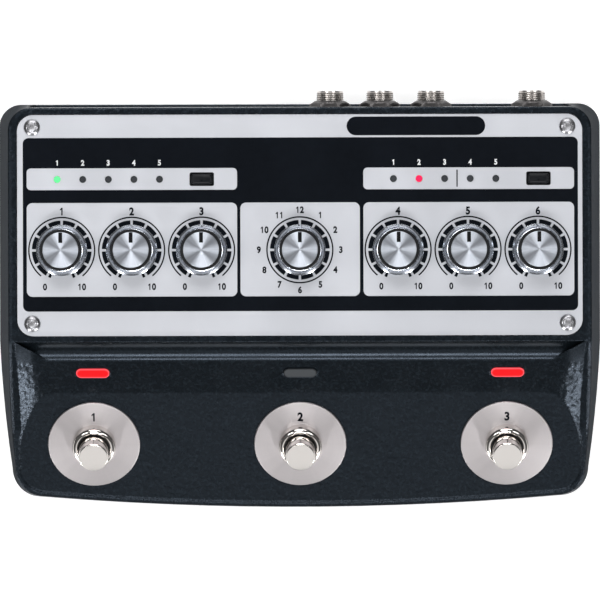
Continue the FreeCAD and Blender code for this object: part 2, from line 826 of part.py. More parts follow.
def screws():
    """Four domed screws in the panel and six flat ones in the plate."""
    head = size.screw_head
    domed = turned("domed_screw", [
        (0, -size.screw_bite),
        (size.screw_radius, -size.screw_bite),
        (size.screw_radius, 0),
        (head, 0),
        (head * 0.6, size.dome_height),
        (0, size.dome_height),
    ])
    node("panel_screws", copies(
        "panel_screws", domed, [dict(x=x, y=y, z=panel_top) for x, y in post_spots]
    ))
    pan = turned("pan_screw", [
        (0, -size.pan_height),
        (head, -size.pan_height),
        (head, 0),
        (size.screw_radius, 0),
        (size.screw_radius, size.screw_bite),
        (0, size.screw_bite),
    ])
    node("base_screws", copies(
        "base_screws", pan, [dict(x=x, y=y, z=foot) for x, y in post_spots + front_post_spots]
    ))


def rubber_feet():
    radius = size.foot_radius
    one = turned("rubber_foot", [
        (0, 0),
        (radius - 0.5, 0),
        (radius, foot),
        (0, foot),
    ])
    spots = [
        dict(x=side * size.foot_x, y=y)
        for side in (-1, 1)
        for y in (size.foot_y_rear, size.foot_y_front)
    ]
    node("rubber_feet", copies("rubber_feet", one, spots))


def control(label, round_case):
    """A rotary control with its bushing and nut, about Z."""
    body = new_body(label)
    base = sketch_on(body, "XY_Plane", f"{label}_base", z=panel_board_top)
    if round_case:
        ring(base, 0, 0, size.mode_radius)
    else:
        rectangle(base, sized(0), sized(0), size.pot_width, size.pot_width)
    pad(body, base, size.pot_height)
    thread = sketch_on(body, "XY_Plane", f"{label}_thread", z=panel_under)
    ring(thread, 0, 0, size.bush_radius)
    pad(body, thread, size.panel_sheet)
    nut = sketch_on(body, "XY_Plane", f"{label}_nut", z=panel_top)
    hexagon(nut, size.pot_nut_radius)
    pad(body, nut, size.pot_nut_height)
    bore = sketch_on(body, "XY_Plane", f"{label}_bore", z=bush_top)
    ring(bore, 0, 0, size.shaft_radius + size.running_gap)
    pocket(body, bore, bush_top - shaft_foot + size.moving_gap)
    return body


def controls():
    """Potentiometers and the rotary switch, with their shafts and knobs."""
    pots = [dict(x=x, y=size.knob_y) for x in knob_x if x.value != 0]
    node("potentiometers", copies("potentiometers", control("pot", False), pots))
    mode = control("mode", True)
    node("mode_switch", copies("mode_switch", mode, [dict(y=size.knob_y)]))

    grip = knob_grip()
    cap = knob_cap()
    shaft = knob_shaft()
    for number, x in enumerate(knob_x, 1):
        spot = dict(x=x, y=size.knob_y)
        node(f"knob_{number}", copies(f"knob_{number}", grip, [spot]))
        node(f"knob_cap_{number}", copies(f"knob_cap_{number}", cap, [spot]))
        node(f"shaft_{number}", copies(f"shaft_{number}", shaft, [spot]))


def hexagon(sketch, corner):
    draw(sketch, [
        (corner * math.cos(math.radians(60 * step)), corner * math.sin(math.radians(60 * step)))
        for step in range(6)
    ])


def hex_nut(label, corner, bore, z, height):
    """A hexagonal nut about Z, standing on z."""
    body = new_body(label)
    sketch = sketch_on(body, "XY_Plane", f"{label}_plan", z=z)
    hexagon(sketch, corner)
    ring(sketch, 0, 0, bore)
    pad(body, sketch, height)
    return body


def knob_grip():
    low = panel_top + size.knob_lift
    top = size.knob_height
    grip = size.grip_radius
    seat = top - size.cap_sheet
    return turned("knob_grip", [
        (0, shaft_top),
        (size.shaft_radius + size.running_gap, shaft_top),
        (size.shaft_radius + size.running_gap, knob_roof),
        (knob_hollow, knob_roof),
        (knob_hollow, low),
        (size.skirt_radius, low),
        (size.skirt_radius, low + size.skirt_edge),
        (grip, low + size.skirt_edge + size.skirt_rise),
        (grip, top),
        (size.cap_radius + size.running_gap, top),
        (size.cap_radius + size.running_gap, seat),
        (0, seat),
    ])


def knob_cap():
    """Spun-metal disc with a sunk pointer line."""
    body = new_body("knob_disc")
    sketch = sketch_on(body, "XY_Plane", "disc_plan", z=size.knob_height - size.cap_sheet)
    ring(sketch, 0, 0, size.cap_radius)
    pad(body, sketch, size.cap_sheet)
    line = sketch_on(body, "XY_Plane", "pointer_line", z=size.knob_height)
    length = size.cap_radius - size.pointer_start + 1
    rectangle(line, sized(0), size.pointer_start + length / 2, size.pointer_wide, length)
    pocket(body, line, size.pointer_deep)
    return body


def knob_shaft():
    """Shaft from the wafer of a control up into its knob."""
    body = new_body("knob_shaft")
    sketch = sketch_on(body, "XY_Plane", "shaft_round", z=shaft_foot)
    ring(sketch, 0, 0, size.shaft_radius)
    pad(body, sketch, shaft_top - shaft_foot)
    return body


def buttons():
    """Two panel buttons over their tact switches."""
    body = new_body("panel_button")
    flange_top = panel_under - size.moving_gap
    cap = sketch_on(body, "XY_Plane", "button_cap", z=flange_top - size.flange)
    rectangle(cap, sized(0), sized(0), size.button_long, size.button_short, sized(0.5))
    pad(body, cap, panel_top + size.button_proud - flange_top + size.flange)
    flange = sketch_on(body, "XY_Plane", "button_flange", z=flange_top - size.flange)
    rectangle(flange, sized(0), sized(0), size.button_long + 2, size.button_short + 2)
    pad(body, flange, size.flange)
    stem = sketch_on(body, "XY_Plane", "button_stem", z=flange_top - size.flange)
    ring(stem, 0, 0, size.tact_stem)
    pad(body, stem, size.tact_stem_length, reverse=True)
    spots = [dict(x=x, y=size.indicator_y) for x in (size.button_x_left, size.button_x_right)]
    for number, spot in enumerate(spots, 1):
        node(f"panel_button_{number}", copies(f"panel_button_{number}", body, [spot]))

    tact = new_body("panel_tact")
    base = sketch_on(tact, "XY_Plane", "tact_base", z=panel_board_top)
    rectangle(base, sized(0), sized(0), size.tact_wide, size.tact_wide)
    pad(tact, base, size.tact_high)
    well = sketch_on(tact, "XY_Plane", "tact_well", z=panel_board_top + size.tact_high)
    ring(well, 0, 0, size.tact_stem + size.running_gap)
    pocket(tact, well, size.tact_high - 0.8)
    node("panel_tacts", copies("panel_tacts", tact, spots))


def small_lamps():
    """Round lamps in the panel, each a light guide standing on the board."""
    lamp = cylinder(
        "round_lamp", size.led_radius, panel_top + size.led_dome - panel_board_top,
        0, 0, panel_board_top,
    )
    spots = [dict(x=x, y=size.indicator_y) for x in led_x]
    green, red = spots[0], spots[6]
    node("green_lamp", copies("green_lamp", lamp, [green]))
    node("red_lamp", copies("red_lamp", lamp, [red]))
    dark = [spot for spot in spots if spot is not green and spot is not red]
    node("dark_lamps", copies("dark_lamps", lamp, dark))


def pill_lamps():
    """Pill-shaped lenses on the lamp slope, with guides down to lamps on the main board."""
    body = new_body("pill_lens")
    face = sketch_on(body, "XY_Plane", "lens_face", z=-size.wall)
    pill(face, sized(0), size.lamp_long, size.lamp_short)
    pad(body, face, size.wall + size.lens_proud)
    flange = sketch_on(body, "XY_Plane", "lens_flange", z=-size.wall)
    rectangle(flange, sized(0), sized(0), size.lamp_long + 2, size.lamp_short + 2)
    pad(body, flange, size.flange, reverse=True)
    place(body, 0, size.lamp_y, lamp_z, tilt=size.lamp_slope)
    lamp_top = main_board_top + size.lamp_chip
    guide_y = size.lamp_y + size.wall * sine(size.lamp_slope)
    guide_top = lamp_z - (size.wall + size.flange / 2) * cosine(size.lamp_slope)
    guide = block(
        "lens_guide", size.lamp_long - 2, size.lamp_short - 0.8, guide_top - lamp_top,
        0, guide_y, lamp_top,
    )
    lens = join("lens", [body, guide])
    lit = [dict(x=-size.switch_x), dict(x=size.switch_x)]
    node("lit_lenses", copies("lit_lenses", lens, lit))
    node("dark_lens", copies("dark_lens", lens, [dict(x=0)]))
    chip = block("lamp_chip", 3.5, 2.0, size.lamp_chip, 0, guide_y, main_board_top)
    node("lamp_chips", copies("lamp_chips", chip, [dict(x=x) for x in switch_x]))


def foot_switches():
    """Foot-switches, drawn upright about Z with the deck surface at 0."""
    thread = size.switch_bush_radius
    disc = turned("round_plate", [
        (thread + size.fit_gap, 0),
        (size.disc_radius, 0),
        (size.disc_radius, size.disc_sheet),
        (thread + size.fit_gap, size.disc_sheet),
    ])
    node("round_plates", copies("round_plates", disc, deck_axis))

    top = size.disc_sheet + size.dress_nut_height
    mouth = size.plunger_radius + size.moving_gap
    nut = turned("dress_nut", [
        (thread + size.fit_gap, size.disc_sheet),
        (size.dress_nut_radius, size.disc_sheet),
        (size.dress_nut_radius, top - 1.4),
        (mouth, top),
        (mouth, switch_bush_top + size.fit_gap),
        (thread + size.fit_gap, switch_bush_top + size.fit_gap),
    ])
    node("dress_nuts", copies("dress_nuts", nut, deck_axis))

    body = new_body("switch_housing")
    base = sketch_on(body, "XY_Plane", "housing_base", z=-size.switch_depth)
    rectangle(base, sized(0), sized(0), size.switch_body, size.switch_body)
    pad(body, base, size.switch_depth - size.wall)
    bush = sketch_on(body, "XY_Plane", "housing_thread", z=-size.wall)
    ring(bush, 0, 0, thread)
    pad(body, bush, size.wall + switch_bush_top)
    bore = sketch_on(body, "XY_Plane", "housing_bore", z=switch_bush_top)
    ring(bore, 0, 0, size.plunger_radius + size.running_gap)
    pocket(body, bore, switch_bush_top + size.switch_depth)
    room = sketch_on(body, "XY_Plane", "housing_room", z=-size.switch_depth)
    ring(room, 0, 0, size.collar_radius + size.moving_gap)
    pocket(body, room, size.switch_depth - size.collar_top + size.moving_gap, reverse=True)
    node("switch_housings", copies("switch_housings", body, deck_axis))

    radius = size.plunger_radius
    plunger = turned("foot_plunger", [
        (0, -plunger_foot),
        (size.tip_radius, -plunger_foot),
        (size.collar_radius, -size.collar_top),
        (radius, -size.collar_top),
        (radius, size.plunger_top - 0.9),
        (radius - 0.9, size.plunger_top),
        (0, size.plunger_top),
    ])
    for number, spot in enumerate(deck_axis, 1):
        node(f"plunger_{number}", copies(f"plunger_{number}", plunger, [spot]))

    board = block(
        "foot_board", size.switch_body, size.switch_body, size.small_board,
        0, 0, -size.switch_depth - size.small_board,
    )
    node("switch_boards", copies("switch_boards", board, deck_axis))
    tact_room = size.switch_depth - plunger_foot - size.plunger_travel - size.moving_gap
    tact = block("foot_tact", size.tact_wide, size.tact_wide, tact_room, 0, 0, -size.switch_depth)
    node("foot_tacts", copies("foot_tacts", tact, deck_axis))


def phone_jacks():
    """6.35 mm jacks: housings on the main board, bushings through the rear wall."""
    length = size.jack_body_length
    shell = block(
        "jack_shell", size.jack_body_width, length, size.jack_body_height,
        0, jack_seat - length / 2, main_board_top,
    )
    bush = along_y("jack_bush", size.jack_thread, jack_seat - 1, size.jack_tip_y, size.jack_z)
    bore = along_y(
        "jack_hole", size.jack_bore, size.jack_tip_y - size.jack_depth, size.jack_tip_y + 1,
        size.jack_z,
    )
    jack = cut("jack", join("jack_solid", [shell, bush]), bore)
    spots = [dict(x=x) for x in jack_x]
    node("phone_jacks", copies("phone_jacks", jack, spots))

    nut = hex_nut("jack_nut", size.jack_nut_radius, size.jack_thread + size.fit_gap, 0,
                  size.jack_nut_height)
    upright = place(nut, 0, size.jack_wall_y, size.jack_z, tilt=sized(-90))
    node("jack_nuts", copies("jack_nuts", upright, spots))


def along_y(label, radius, start, end, z):
    """A round bar along Y from start to end."""
    bar = cylinder(label, radius, end - start, 0, start, z)
    return place(bar, 0, start, z, tilt=sized(-90))


def small_sockets():
    """3.5 mm jacks, power inlet and data socket, flush with the rear flat."""
    floor = main_board_top
    body = block("link_shell", 6.5, size.link_length, size.jack_z + 3 - floor,
                 0, jack_seat - size.link_length / 2, floor)
    nose = along_y("link_nose", size.link_radius, jack_seat - 1, size.jack_wall_y, size.jack_z)
    bore = along_y("link_hole", size.link_bore, jack_seat - size.link_length + 1,
                   size.jack_wall_y + 1, size.jack_z)
    link = cut("link", join("link_solid", [body, nose]), bore)
    spots = [dict(x=size.link_x_first), dict(x=size.link_x_second)]
    node("link_jacks", copies("link_jacks", link, spots))

    body = block("power_shell", size.power_radius * 2 - 0.6, size.power_length,
                 size.jack_z + size.power_radius - floor, 0, jack_seat - size.power_length / 2, floor)
    nose = along_y("power_nose", size.power_radius, jack_seat - 1, size.jack_wall_y, size.jack_z)
    bore = along_y("power_hole", size.power_bore, jack_seat - size.power_length + 2,
                   size.jack_wall_y + 1, size.jack_z)
    pin = along_y("power_pin", size.power_pin, jack_seat - size.power_length + 1,
                  size.jack_wall_y - 1, size.jack_z)
    inlet = join("inlet", [cut("inlet_shell", join("inlet_solid", [body, nose]), bore), pin])
    node("power_inlet", copies("power_inlet", inlet, [dict(x=size.power_x)]))

    shell = new_body("data_shell")
    face = sketch_on(shell, "XZ_Plane", "data_face", z=-size.jack_wall_y)
    rectangle(face, sized(0), size.jack_z, size.data_wide, size.data_high, sized(0.4))
    pad(shell, face, size.data_length)
    mouth = sketch_on(shell, "XZ_Plane", "data_mouth", z=-size.jack_wall_y)
    rectangle(mouth, sized(0), size.jack_z, size.data_wide - 0.8, size.data_high - 0.8, sized(0.3))
    pocket(shell, mouth, size.data_length - 1, reverse=True)
    stand = block("data_stand", size.data_wide - 1, size.data_length - size.wall - 1,
                  size.jack_z - size.data_high / 2 - floor,
                  0, jack_seat - (size.data_length - size.wall - 1) / 2 - 0.5, floor)
    socket = join("socket", [shell, stand])
    node("data_socket", copies("data_socket", socket, [dict(x=size.data_x)]))


def boards():
    """Circuit boards, what stands on them and what holds them up."""
    deep = size.panel_board_rear - size.panel_board_front
    board = block("panel_board", size.board_half * 2, deep, size.board,
                  0, (size.panel_board_front + size.panel_board_rear) / 2,
                  panel_board_top - size.board)
    node("panel_board", board)
    deep = size.main_board_rear - size.main_board_front
    board = block("main_board", size.board_half * 2, deep, size.board,
                  0, (size.main_board_front + size.main_board_rear) / 2,
                  main_board_top - size.board)
    node("main_board", board)

    under = panel_board_top - size.board
    header = block("header", size.header_long, 5, under - main_board_top, 0, 0, main_board_top)
    node("board_headers", copies("board_headers", header, [
        dict(x=side * size.header_x, y=size.header_y) for side in (-1, 1)
    ]))
    stand = new_body("board_stand")
    plan = sketch_on(stand, "XY_Plane", "stand_plan", z=plate_top)
    hexagon(plan, size.stand_radius)
    pad(stand, plan, main_board_top - size.board - plate_top)
    node("board_stands", copies("board_stands", stand, [
        dict(x=side * size.stand_x, y=y)
        for side in (-1, 1)
        for y in (size.stand_y_front, size.stand_y_rear)
    ]))

    chip = new_body("delay_chip")
    outline = sketch_on(chip, "XY_Plane", "chip_outline", z=main_board_top + 0.5)
    rectangle(outline, sized(0), sized(0), sized(6.4), sized(9.8))
    pad(chip, outline, 3.3)
    legs = sketch_on(chip, "XY_Plane", "chip_legs", z=main_board_top)
    for side in (-1, 1):
        rectangle(legs, sized(side * 3.6), sized(0), sized(0.8), sized(8.4))
    pad(chip, legs, 2.2)
    node("delay_chips", copies("delay_chips", chip, [
        dict(x=size.chip_x + size.chip_pitch * column, y=size.chip_y + size.chip_row * row)
        for row in range(2)
        for column in range(4)
    ]))
    node("processor_chip", block(
        "processor_chip", 14, 14, 1.4, size.processor_x, size.chip_y + 6, main_board_top
    ))
    can = cylinder("capacitor", size.can_radius, size.can_high, 0, 0, main_board_top)
    node("capacitors", copies("capacitors", can, [
        dict(x=size.can_x + 9 * column, y=size.chip_y + 11 * row)
        for row in range(2)
        for column in range(2)
    ]))


for make in (
    top_case, bottom_plate, face_panel, screws, rubber_feet,
    controls, buttons, small_lamps, pill_lamps, foot_switches,
    phone_jacks, small_sockets, boards,
):
    make()

document.recompute()
failed = [
    thing.Label
    for thing in document.Objects
    if "Invalid" in thing.State or "Error" in thing.State
]
failed += [
    label
    for label, thing in nodes.items()
    if thing.Shape.isNull() or not thing.Shape.isValid()
]
if failed:
    raise RuntimeError(f"these objects failed: {failed}")
os.makedirs("parts", exist_ok=True)
for label, thing in nodes.items():
    thing.Shape.exportStep(f"parts/{label}.step")
    print(label, len(thing.Shape.Solids), round(thing.Shape.Volume, 1))
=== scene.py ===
import json
import math

import bmesh
import bpy
from mathutils import Matrix, Vector


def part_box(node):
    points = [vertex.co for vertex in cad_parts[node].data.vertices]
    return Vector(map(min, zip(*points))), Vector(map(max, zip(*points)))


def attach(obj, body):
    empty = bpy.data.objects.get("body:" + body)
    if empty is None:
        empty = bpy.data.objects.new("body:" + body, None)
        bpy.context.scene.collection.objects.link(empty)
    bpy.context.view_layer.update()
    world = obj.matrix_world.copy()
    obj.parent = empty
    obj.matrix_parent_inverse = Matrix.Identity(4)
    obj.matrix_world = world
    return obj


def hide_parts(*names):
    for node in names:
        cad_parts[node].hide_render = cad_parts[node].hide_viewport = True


# The looks of the analog delay pedal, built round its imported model.
# Lengths are written in millimetres, and MM scales them to metres on the way in.
# X runs to the right, Y to the rear (the jack side) and Z up.

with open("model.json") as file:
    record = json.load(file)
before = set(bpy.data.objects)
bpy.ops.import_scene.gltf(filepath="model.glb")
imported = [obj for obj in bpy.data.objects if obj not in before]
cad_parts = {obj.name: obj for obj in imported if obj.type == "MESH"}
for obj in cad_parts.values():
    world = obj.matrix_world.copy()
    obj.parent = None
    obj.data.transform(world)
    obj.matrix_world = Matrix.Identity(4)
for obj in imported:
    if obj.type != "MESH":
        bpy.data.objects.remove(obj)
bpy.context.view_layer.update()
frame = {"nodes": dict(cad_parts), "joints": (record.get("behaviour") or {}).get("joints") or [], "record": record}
nodes = frame["nodes"]

MM = 0.001


def in_mm(point):
    """A point of the frame, in mm."""
    return [round(value / MM, 3) for value in point]


def box_mm(node):
    """A node's lowest and highest corner, in mm."""
    return [in_mm(corner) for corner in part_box(node)]


def middle_mm(node):
    """The middle of a node's box, in mm."""
    return [round((low + high) / 2, 3) for low, high in zip(*box_mm(node))]


# Places that come from the frame

joints = {joint["name"]: joint for joint in frame["joints"]}
knob_turns = [joints[f"knob_{n}_turn"] for n in range(1, 8)]
mounts = {mount["name"]: mount for mount in frame["record"]["mounts"]}
jack_mounts = [mounts[name] for name in ("output_b", "output_a", "input_jack", "pedal_jack")]

PANEL_TOP = box_mm("face_panel")[1][2]
PANEL_Y = middle_mm("face_panel")[1]
KNOB_X = [in_mm(turn["pos_m"])[0] for turn in knob_turns]
KNOB_Y = in_mm(knob_turns[0]["pos_m"])[1]
MODE_KNOB = next(n for n, turn in enumerate(knob_turns, 1) if turn.get("continuous"))
BUTTON_SPOTS = [middle_mm(f"panel_button_{n}")[:2] for n in (1, 2)]
JACK_X = [in_mm(mount["pos_m"])[0] for mount in jack_mounts]
JACK_Z = in_mm(jack_mounts[0]["pos_m"])[2]
JACK_WALL_Y = box_mm("jack_nuts")[0][1]
JACK_TIP_Y = box_mm("phone_jacks")[1][1]

# Places that repeat the casting's own sizes

SWITCH_X, SWITCH_Y, SWITCH_Z = 65.5, -45.4, 18.6
DECK_TILT = math.radians(24.5)
DECK_SPOTS = [(x, SWITCH_Y, SWITCH_Z) for x in (-SWITCH_X, 0.0, SWITCH_X)]
LENS_Y, LENS_LONG, LENS_SHORT = -23.1, 10.4, 3.3
LENS_TILT = math.radians(36.4)
SCREW_X, SCREW_DY = 84.2, 30.9
SCREW_SPOTS = [(x, PANEL_Y + dy) for x in (-SCREW_X, SCREW_X) for dy in (-SCREW_DY, SCREW_DY)]

# Materials


class Graph:
    """A material's node tree, with short calls for adding nodes and feeding its shader."""

    def __init__(self, name):
        self.material = bpy.data.materials.new(name)
        self.material.use_nodes = True
        self.tree = self.material.node_tree
        self.shader = self.tree.nodes["Principled BSDF"]

    def add(self, kind, **settings):
        """A node. Each setting is one of its properties or, if it has none so named, an input."""
        node = self.tree.nodes.new(kind)
        for key, value in settings.items():
            if hasattr(node, key):
                setattr(node, key, value)
            else:
                node.inputs[key.replace("_", " ")].default_value = value
        return node

    def link(self, out, into):
        self.tree.links.new(out, into)

    def set(self, **values):
        """Fixed values for inputs of the shader."""
        for key, value in values.items():
            socket = self.shader.inputs[key.replace("_", " ")]
            if socket.type == "RGBA":
                value = (*value, 1.0)
            socket.default_value = value

    def feed(self, **outputs):
        """Links nodes' outputs to inputs of the shader."""
        for key, out in outputs.items():
            self.link(out, self.shader.inputs[key.replace("_", " ")])

    def place(self):
        """Object coordinates, in metres."""
        return self.add("ShaderNodeTexCoord").outputs["Object"]

    def split(self, vector):
        """The X, Y and Z of a vector."""
        node = self.add("ShaderNodeSeparateXYZ")
        self.link(vector, node.inputs["Vector"])
        return [node.outputs[axis] for axis in "XYZ"]

    def noise(self, size, detail, roughness=0.5):
        """Noise whose features are about size mm across."""
        node = self.add("ShaderNodeTexNoise", Scale=1 / (size * MM), Detail=detail, Roughness=roughness)
        self.link(self.place(), node.inputs["Vector"])
        return node.outputs["Fac"]

    def noise_along(self, value, scale, detail):
        """Noise that changes along one value only."""
        node = self.add("ShaderNodeTexNoise", noise_dimensions="1D", Scale=scale, Detail=detail)
        self.link(value, node.inputs["W"])
        return node.outputs["Fac"]

    def cells(self, size, **settings):
        """How far a point is from the middle of its cell, for cells about size mm across."""
        node = self.add("ShaderNodeTexVoronoi", Scale=1 / (size * MM), **settings)
        self.link(self.place(), node.inputs["Vector"])
        return node.outputs["Distance"]

    def ramp(self, value, *stops):
        """A colour from (position, colour) stops."""
        node = self.add("ShaderNodeValToRGB")
        self.link(value, node.inputs["Fac"])
        band = node.color_ramp
        while len(band.elements) < len(stops):
            band.elements.new(0.5)
        for element, (position, colour) in zip(band.elements, stops):
            element.position = position
            element.color = (*colour, 1.0)
        return node.outputs["Color"]

    def range(self, value, low, high, start=0.0, end=1.0):
        """A value that goes from low to high while its source goes from start to end."""
        node = self.add("ShaderNodeMapRange")
        self.link(value, node.inputs["Value"])
        for key, number in (("From Min", start), ("From Max", end), ("To Min", low), ("To Max", high)):
            node.inputs[key].default_value = number
        return node.outputs["Result"]

    def math(self, operation, a, b=None):
        """Arithmetic on outputs and numbers."""
        node = self.add("ShaderNodeMath", operation=operation)
        for socket, value in zip(node.inputs, (a, b)):
            if isinstance(value, (int, float)):
                socket.default_value = value
            elif value is not None:
                self.link(value, socket)
        return node.outputs["Value"]

    def distance(self, a, b):
        """The length of the two sides a and b, taken square to each other."""
        return self.math("SQRT", self.math("ADD", self.math("POWER", a, 2.0), self.math("POWER", b, 2.0)))

    def bump(self, height, depth, strength=1.0, under=None):
        """Bump of depth mm, on top of another bump if one is given."""
        node = self.add("ShaderNodeBump", Strength=strength, Distance=depth * MM)
        self.link(height, node.inputs["Height"])
        if under:
            self.link(under, node.inputs["Normal"])
        self.feed(Normal=node.outputs["Normal"])
        return node.outputs["Normal"]


def srgb(*colour):
    """A display colour, 0 to 255, as linear values."""
    return tuple(
        c / 255 / 12.92 if c <= 10 else ((c / 255 + 0.055) / 1.055) ** 2.4
        for c in colour
    )


def shade(colour, factor):
    return tuple(c * factor for c in colour)


def metal(name, colour, roughness, spread=0.1):
    """Plated or polished metal with faint smears in its roughness."""
    g = Graph(name)
    g.set(Base_Color=colour, Metallic=1.0)
    smears = g.noise(3.0, 4.0)
    g.feed(Roughness=g.range(smears, roughness - spread * 0.3, roughness + spread, 0.35, 0.75))
    g.bump(g.noise(0.6, 3.0), 0.001)
    return g.material


def plastic(name, colour, roughness, grain=0.3, bump=0.01, specular=0.5):
    """Moulded plastic, rubber or print, with clouds in its colour and a fine grain."""
    g = Graph(name)
    g.set(Specular_IOR_Level=specular)
    g.feed(
        Base_Color=g.ramp(g.noise(2.5, 4.0), (0.3, shade(colour, 0.85)), (0.7, colour)),
        Roughness=g.range(g.noise(1.2, 3.0), roughness - 0.05, roughness + 0.08, 0.3, 0.7),
    )
    g.bump(g.noise(grain, 3.0), bump)
    return g.material


def lamp(name, colour, glow=None, strength=0.0):
    """A small round lamp. A lit one glows evenly."""
    g = Graph(name)
    g.set(Roughness=0.2, Coat_Weight=0.3, Coat_Roughness=0.08)
    g.feed(Base_Color=g.ramp(g.noise(0.8, 2.0), (0.3, colour), (0.7, shade(colour, 0.9))))
    if glow:
        g.set(Emission_Color=glow, Emission_Strength=strength)
    g.bump(g.noise(0.5, 2.0), 0.003)
    return g.material


LENS_LINE_IN, LENS_LINE_OUT = 0.4, 0.2


def lens(name, middle, colour, painted_edge_colour, glow=None, painted_edge_glow=None, strength=0.0):
    """A pill lens, middle mm from x = 0, with a line round its edge in another colour: a painted highlight on the
    lit lens, painted shade on the dark lens.
    """
    g = Graph(name)
    g.set(Roughness=0.4, Specular_IOR_Level=0.25)
    x, y, _ = g.split(g.place())
    along = g.math("SUBTRACT", g.math("ABSOLUTE", x), middle * MM)
    along = g.math("SUBTRACT", g.math("ABSOLUTE", along), (LENS_LONG - LENS_SHORT) / 2 * MM)
    across = g.math("DIVIDE", g.math("SUBTRACT", y, LENS_Y * MM), math.cos(LENS_TILT))
    reach = g.distance(g.math("MAXIMUM", along, 0.0), across)
    half = LENS_SHORT / 2
    # Mask of the line round the edge, where the lit lens gets a painted highlight and the dark lens gets painted
    # shade
    edge = g.range(reach, 0.0, 1.0, (half - LENS_LINE_IN) * MM, (half - LENS_LINE_OUT) * MM)
    g.feed(Base_Color=g.ramp(edge, (0.0, colour), (1.0, painted_edge_colour)))
    if glow:
        g.feed(Emission_Color=g.ramp(edge, (0.0, glow), (1.0, painted_edge_glow)))
        g.set(Emission_Strength=strength)
    g.bump(g.noise(0.5, 2.0), 0.003)
    return g.material


# How far the paint rounds the casting's edges: on the outside, on the rim round the panel,
# right beside the panel, and on the flanks
ROUND_OUTSIDE, ROUND_RIM, ROUND_PANEL, ROUND_FLANK = 0.9, 0.3, 0.1, 2.1
RIM_X, RIM_FRONT, RIM_REAR = 89.9, -18.2, 59.4
RECESS_FRONT = -12.2
FLANK_X = 90.6


def edge_radius(g):
    """How far the paint rounds the casting's edges, from place to place."""
    x, y, _ = g.split(g.place())
    x = g.math("ABSOLUTE", x)
    top = g.math("MULTIPLY", g.math("LESS_THAN", x, RIM_X * MM), g.math("LESS_THAN", y, RIM_REAR * MM))
    rim = g.math("MULTIPLY", top, g.math("GREATER_THAN", y, RIM_FRONT * MM))
    recess = g.math("MULTIPLY", top, g.math("GREATER_THAN", y, RECESS_FRONT * MM))
    flank = g.math("GREATER_THAN", x, FLANK_X * MM)
    radius = g.range(rim, ROUND_OUTSIDE * MM, ROUND_RIM * MM)
    radius = g.math("SUBTRACT", radius, g.math("MULTIPLY", recess, (ROUND_RIM - ROUND_PANEL) * MM))
    return g.math("ADD", radius, g.math("MULTIPLY", flank, (ROUND_FLANK - ROUND_OUTSIDE) * MM))


# The grain fades towards the crest under the rim, from CREST_FULL to CREST_CALM mm off its line.
# Steep faces are rougher by up to WALL_DULL, from DULL_START mm outwards.
CREST_Y, CREST_CALM, CREST_FULL = -16.2, 3.2, 4.0
WALL_DULL, DULL_START, DULL_FULL = 0.78, 84.0, 90.0
COARSE_DEPTH, COARSE_STRENGTH = 0.13, 1.0
FINE_DEPTH, FINE_STRENGTH = 0.14, 0.6


def textured_paint():
    """Thick paint with a leathery grain over the die casting, duller on the side walls."""
    g = Graph("textured_paint")
    g.set(Specular_IOR_Level=0.3, Specular_Tint=srgb(212, 231, 255))
    grain = g.noise(1.0, 4.0, 0.55)
    g.feed(Base_Color=g.ramp(
        grain, (0.35, srgb(10, 13, 16)), (0.55, srgb(15, 20, 24)), (0.75, srgb(27, 33, 38)),
    ))
    x, y, _ = g.split(g.place())
    level = g.split(g.add("ShaderNodeNewGeometry").outputs["True Normal"])[2]
    upright = g.range(g.math("ABSOLUTE", level), WALL_DULL, 0.0, 0.1, 0.45)
    side = g.range(g.math("ABSOLUTE", x), 0.0, 1.0, DULL_START * MM, DULL_FULL * MM)
    smooth = g.range(g.noise(9.0, 3.0), 0.22, 0.28, 0.3, 0.7)
    g.feed(Roughness=g.math("ADD", smooth, g.math("MULTIPLY", upright, side)))
    rounding = g.add("ShaderNodeBevel", samples=8)
    g.link(edge_radius(g), rounding.inputs["Radius"])
    pits = g.cells(1.6, feature="SMOOTH_F1")
    coarse = g.bump(pits, COARSE_DEPTH, COARSE_STRENGTH, rounding.outputs["Normal"])
    fine = g.bump(grain, FINE_DEPTH, FINE_STRENGTH, coarse)
    off_crest = g.math("ABSOLUTE", g.math("SUBTRACT", y, CREST_Y * MM))
    for bump, full in ((coarse, COARSE_STRENGTH), (fine, FINE_STRENGTH)):
        strength = g.range(off_crest, full * 0.1, full, CREST_CALM * MM, CREST_FULL * MM)
        g.link(strength, bump.node.inputs["Strength"])
    return g.material


def spun(name, colour, roughness, fans, ring=0.12, painted_fan_depth=0.25):
    """Metal faced on a lathe: rings round the piece's own Z axis, whose fans of light come partly from the lamps
    through the anisotropy and partly from painted reflection, darker and lighter sectors in its colour.
    """
    g = Graph(name)
    g.set(Metallic=1.0, Anisotropic=fans, Anisotropic_Rotation=0.25)
    x, y, _ = g.split(g.place())
    rings = g.noise_along(g.distance(x, y), 1 / (ring * MM), 4.0)
    # Painted reflection: darker and lighter sectors round the axis in the colour, standing in for fans of light on
    # the rings
    angle = g.math("ABSOLUTE", g.math("ARCTAN2", y, x))
    painted_fan = g.noise_along(angle, 1.6, 3.0)
    g.feed(
        Tangent=g.add("ShaderNodeTangent", direction_type="RADIAL", axis="Z").outputs["Tangent"],
        Roughness=g.range(rings, roughness - 0.06, roughness + 0.1, 0.3, 0.7),
        Base_Color=g.ramp(painted_fan, (0.35, shade(colour, 1 - painted_fan_depth)), (0.62, colour)),
    )
    g.bump(rings, 0.004, 0.5)
    return g.material


def panel_face():
    """Satin silver sheet with a fine even grain."""
    g = Graph("panel_face")
    g.set(Metallic=0.55, Specular_IOR_Level=0.5)
    g.feed(
        Base_Color=g.ramp(g.noise(30.0, 3.0), (0.3, srgb(197, 199, 205)), (0.7, srgb(205, 207, 213))),
        Roughness=g.range(g.noise(0.4, 3.0), 0.38, 0.5, 0.3, 0.7),
    )
    g.bump(g.noise(0.25, 2.0), 0.003)
    return g.material


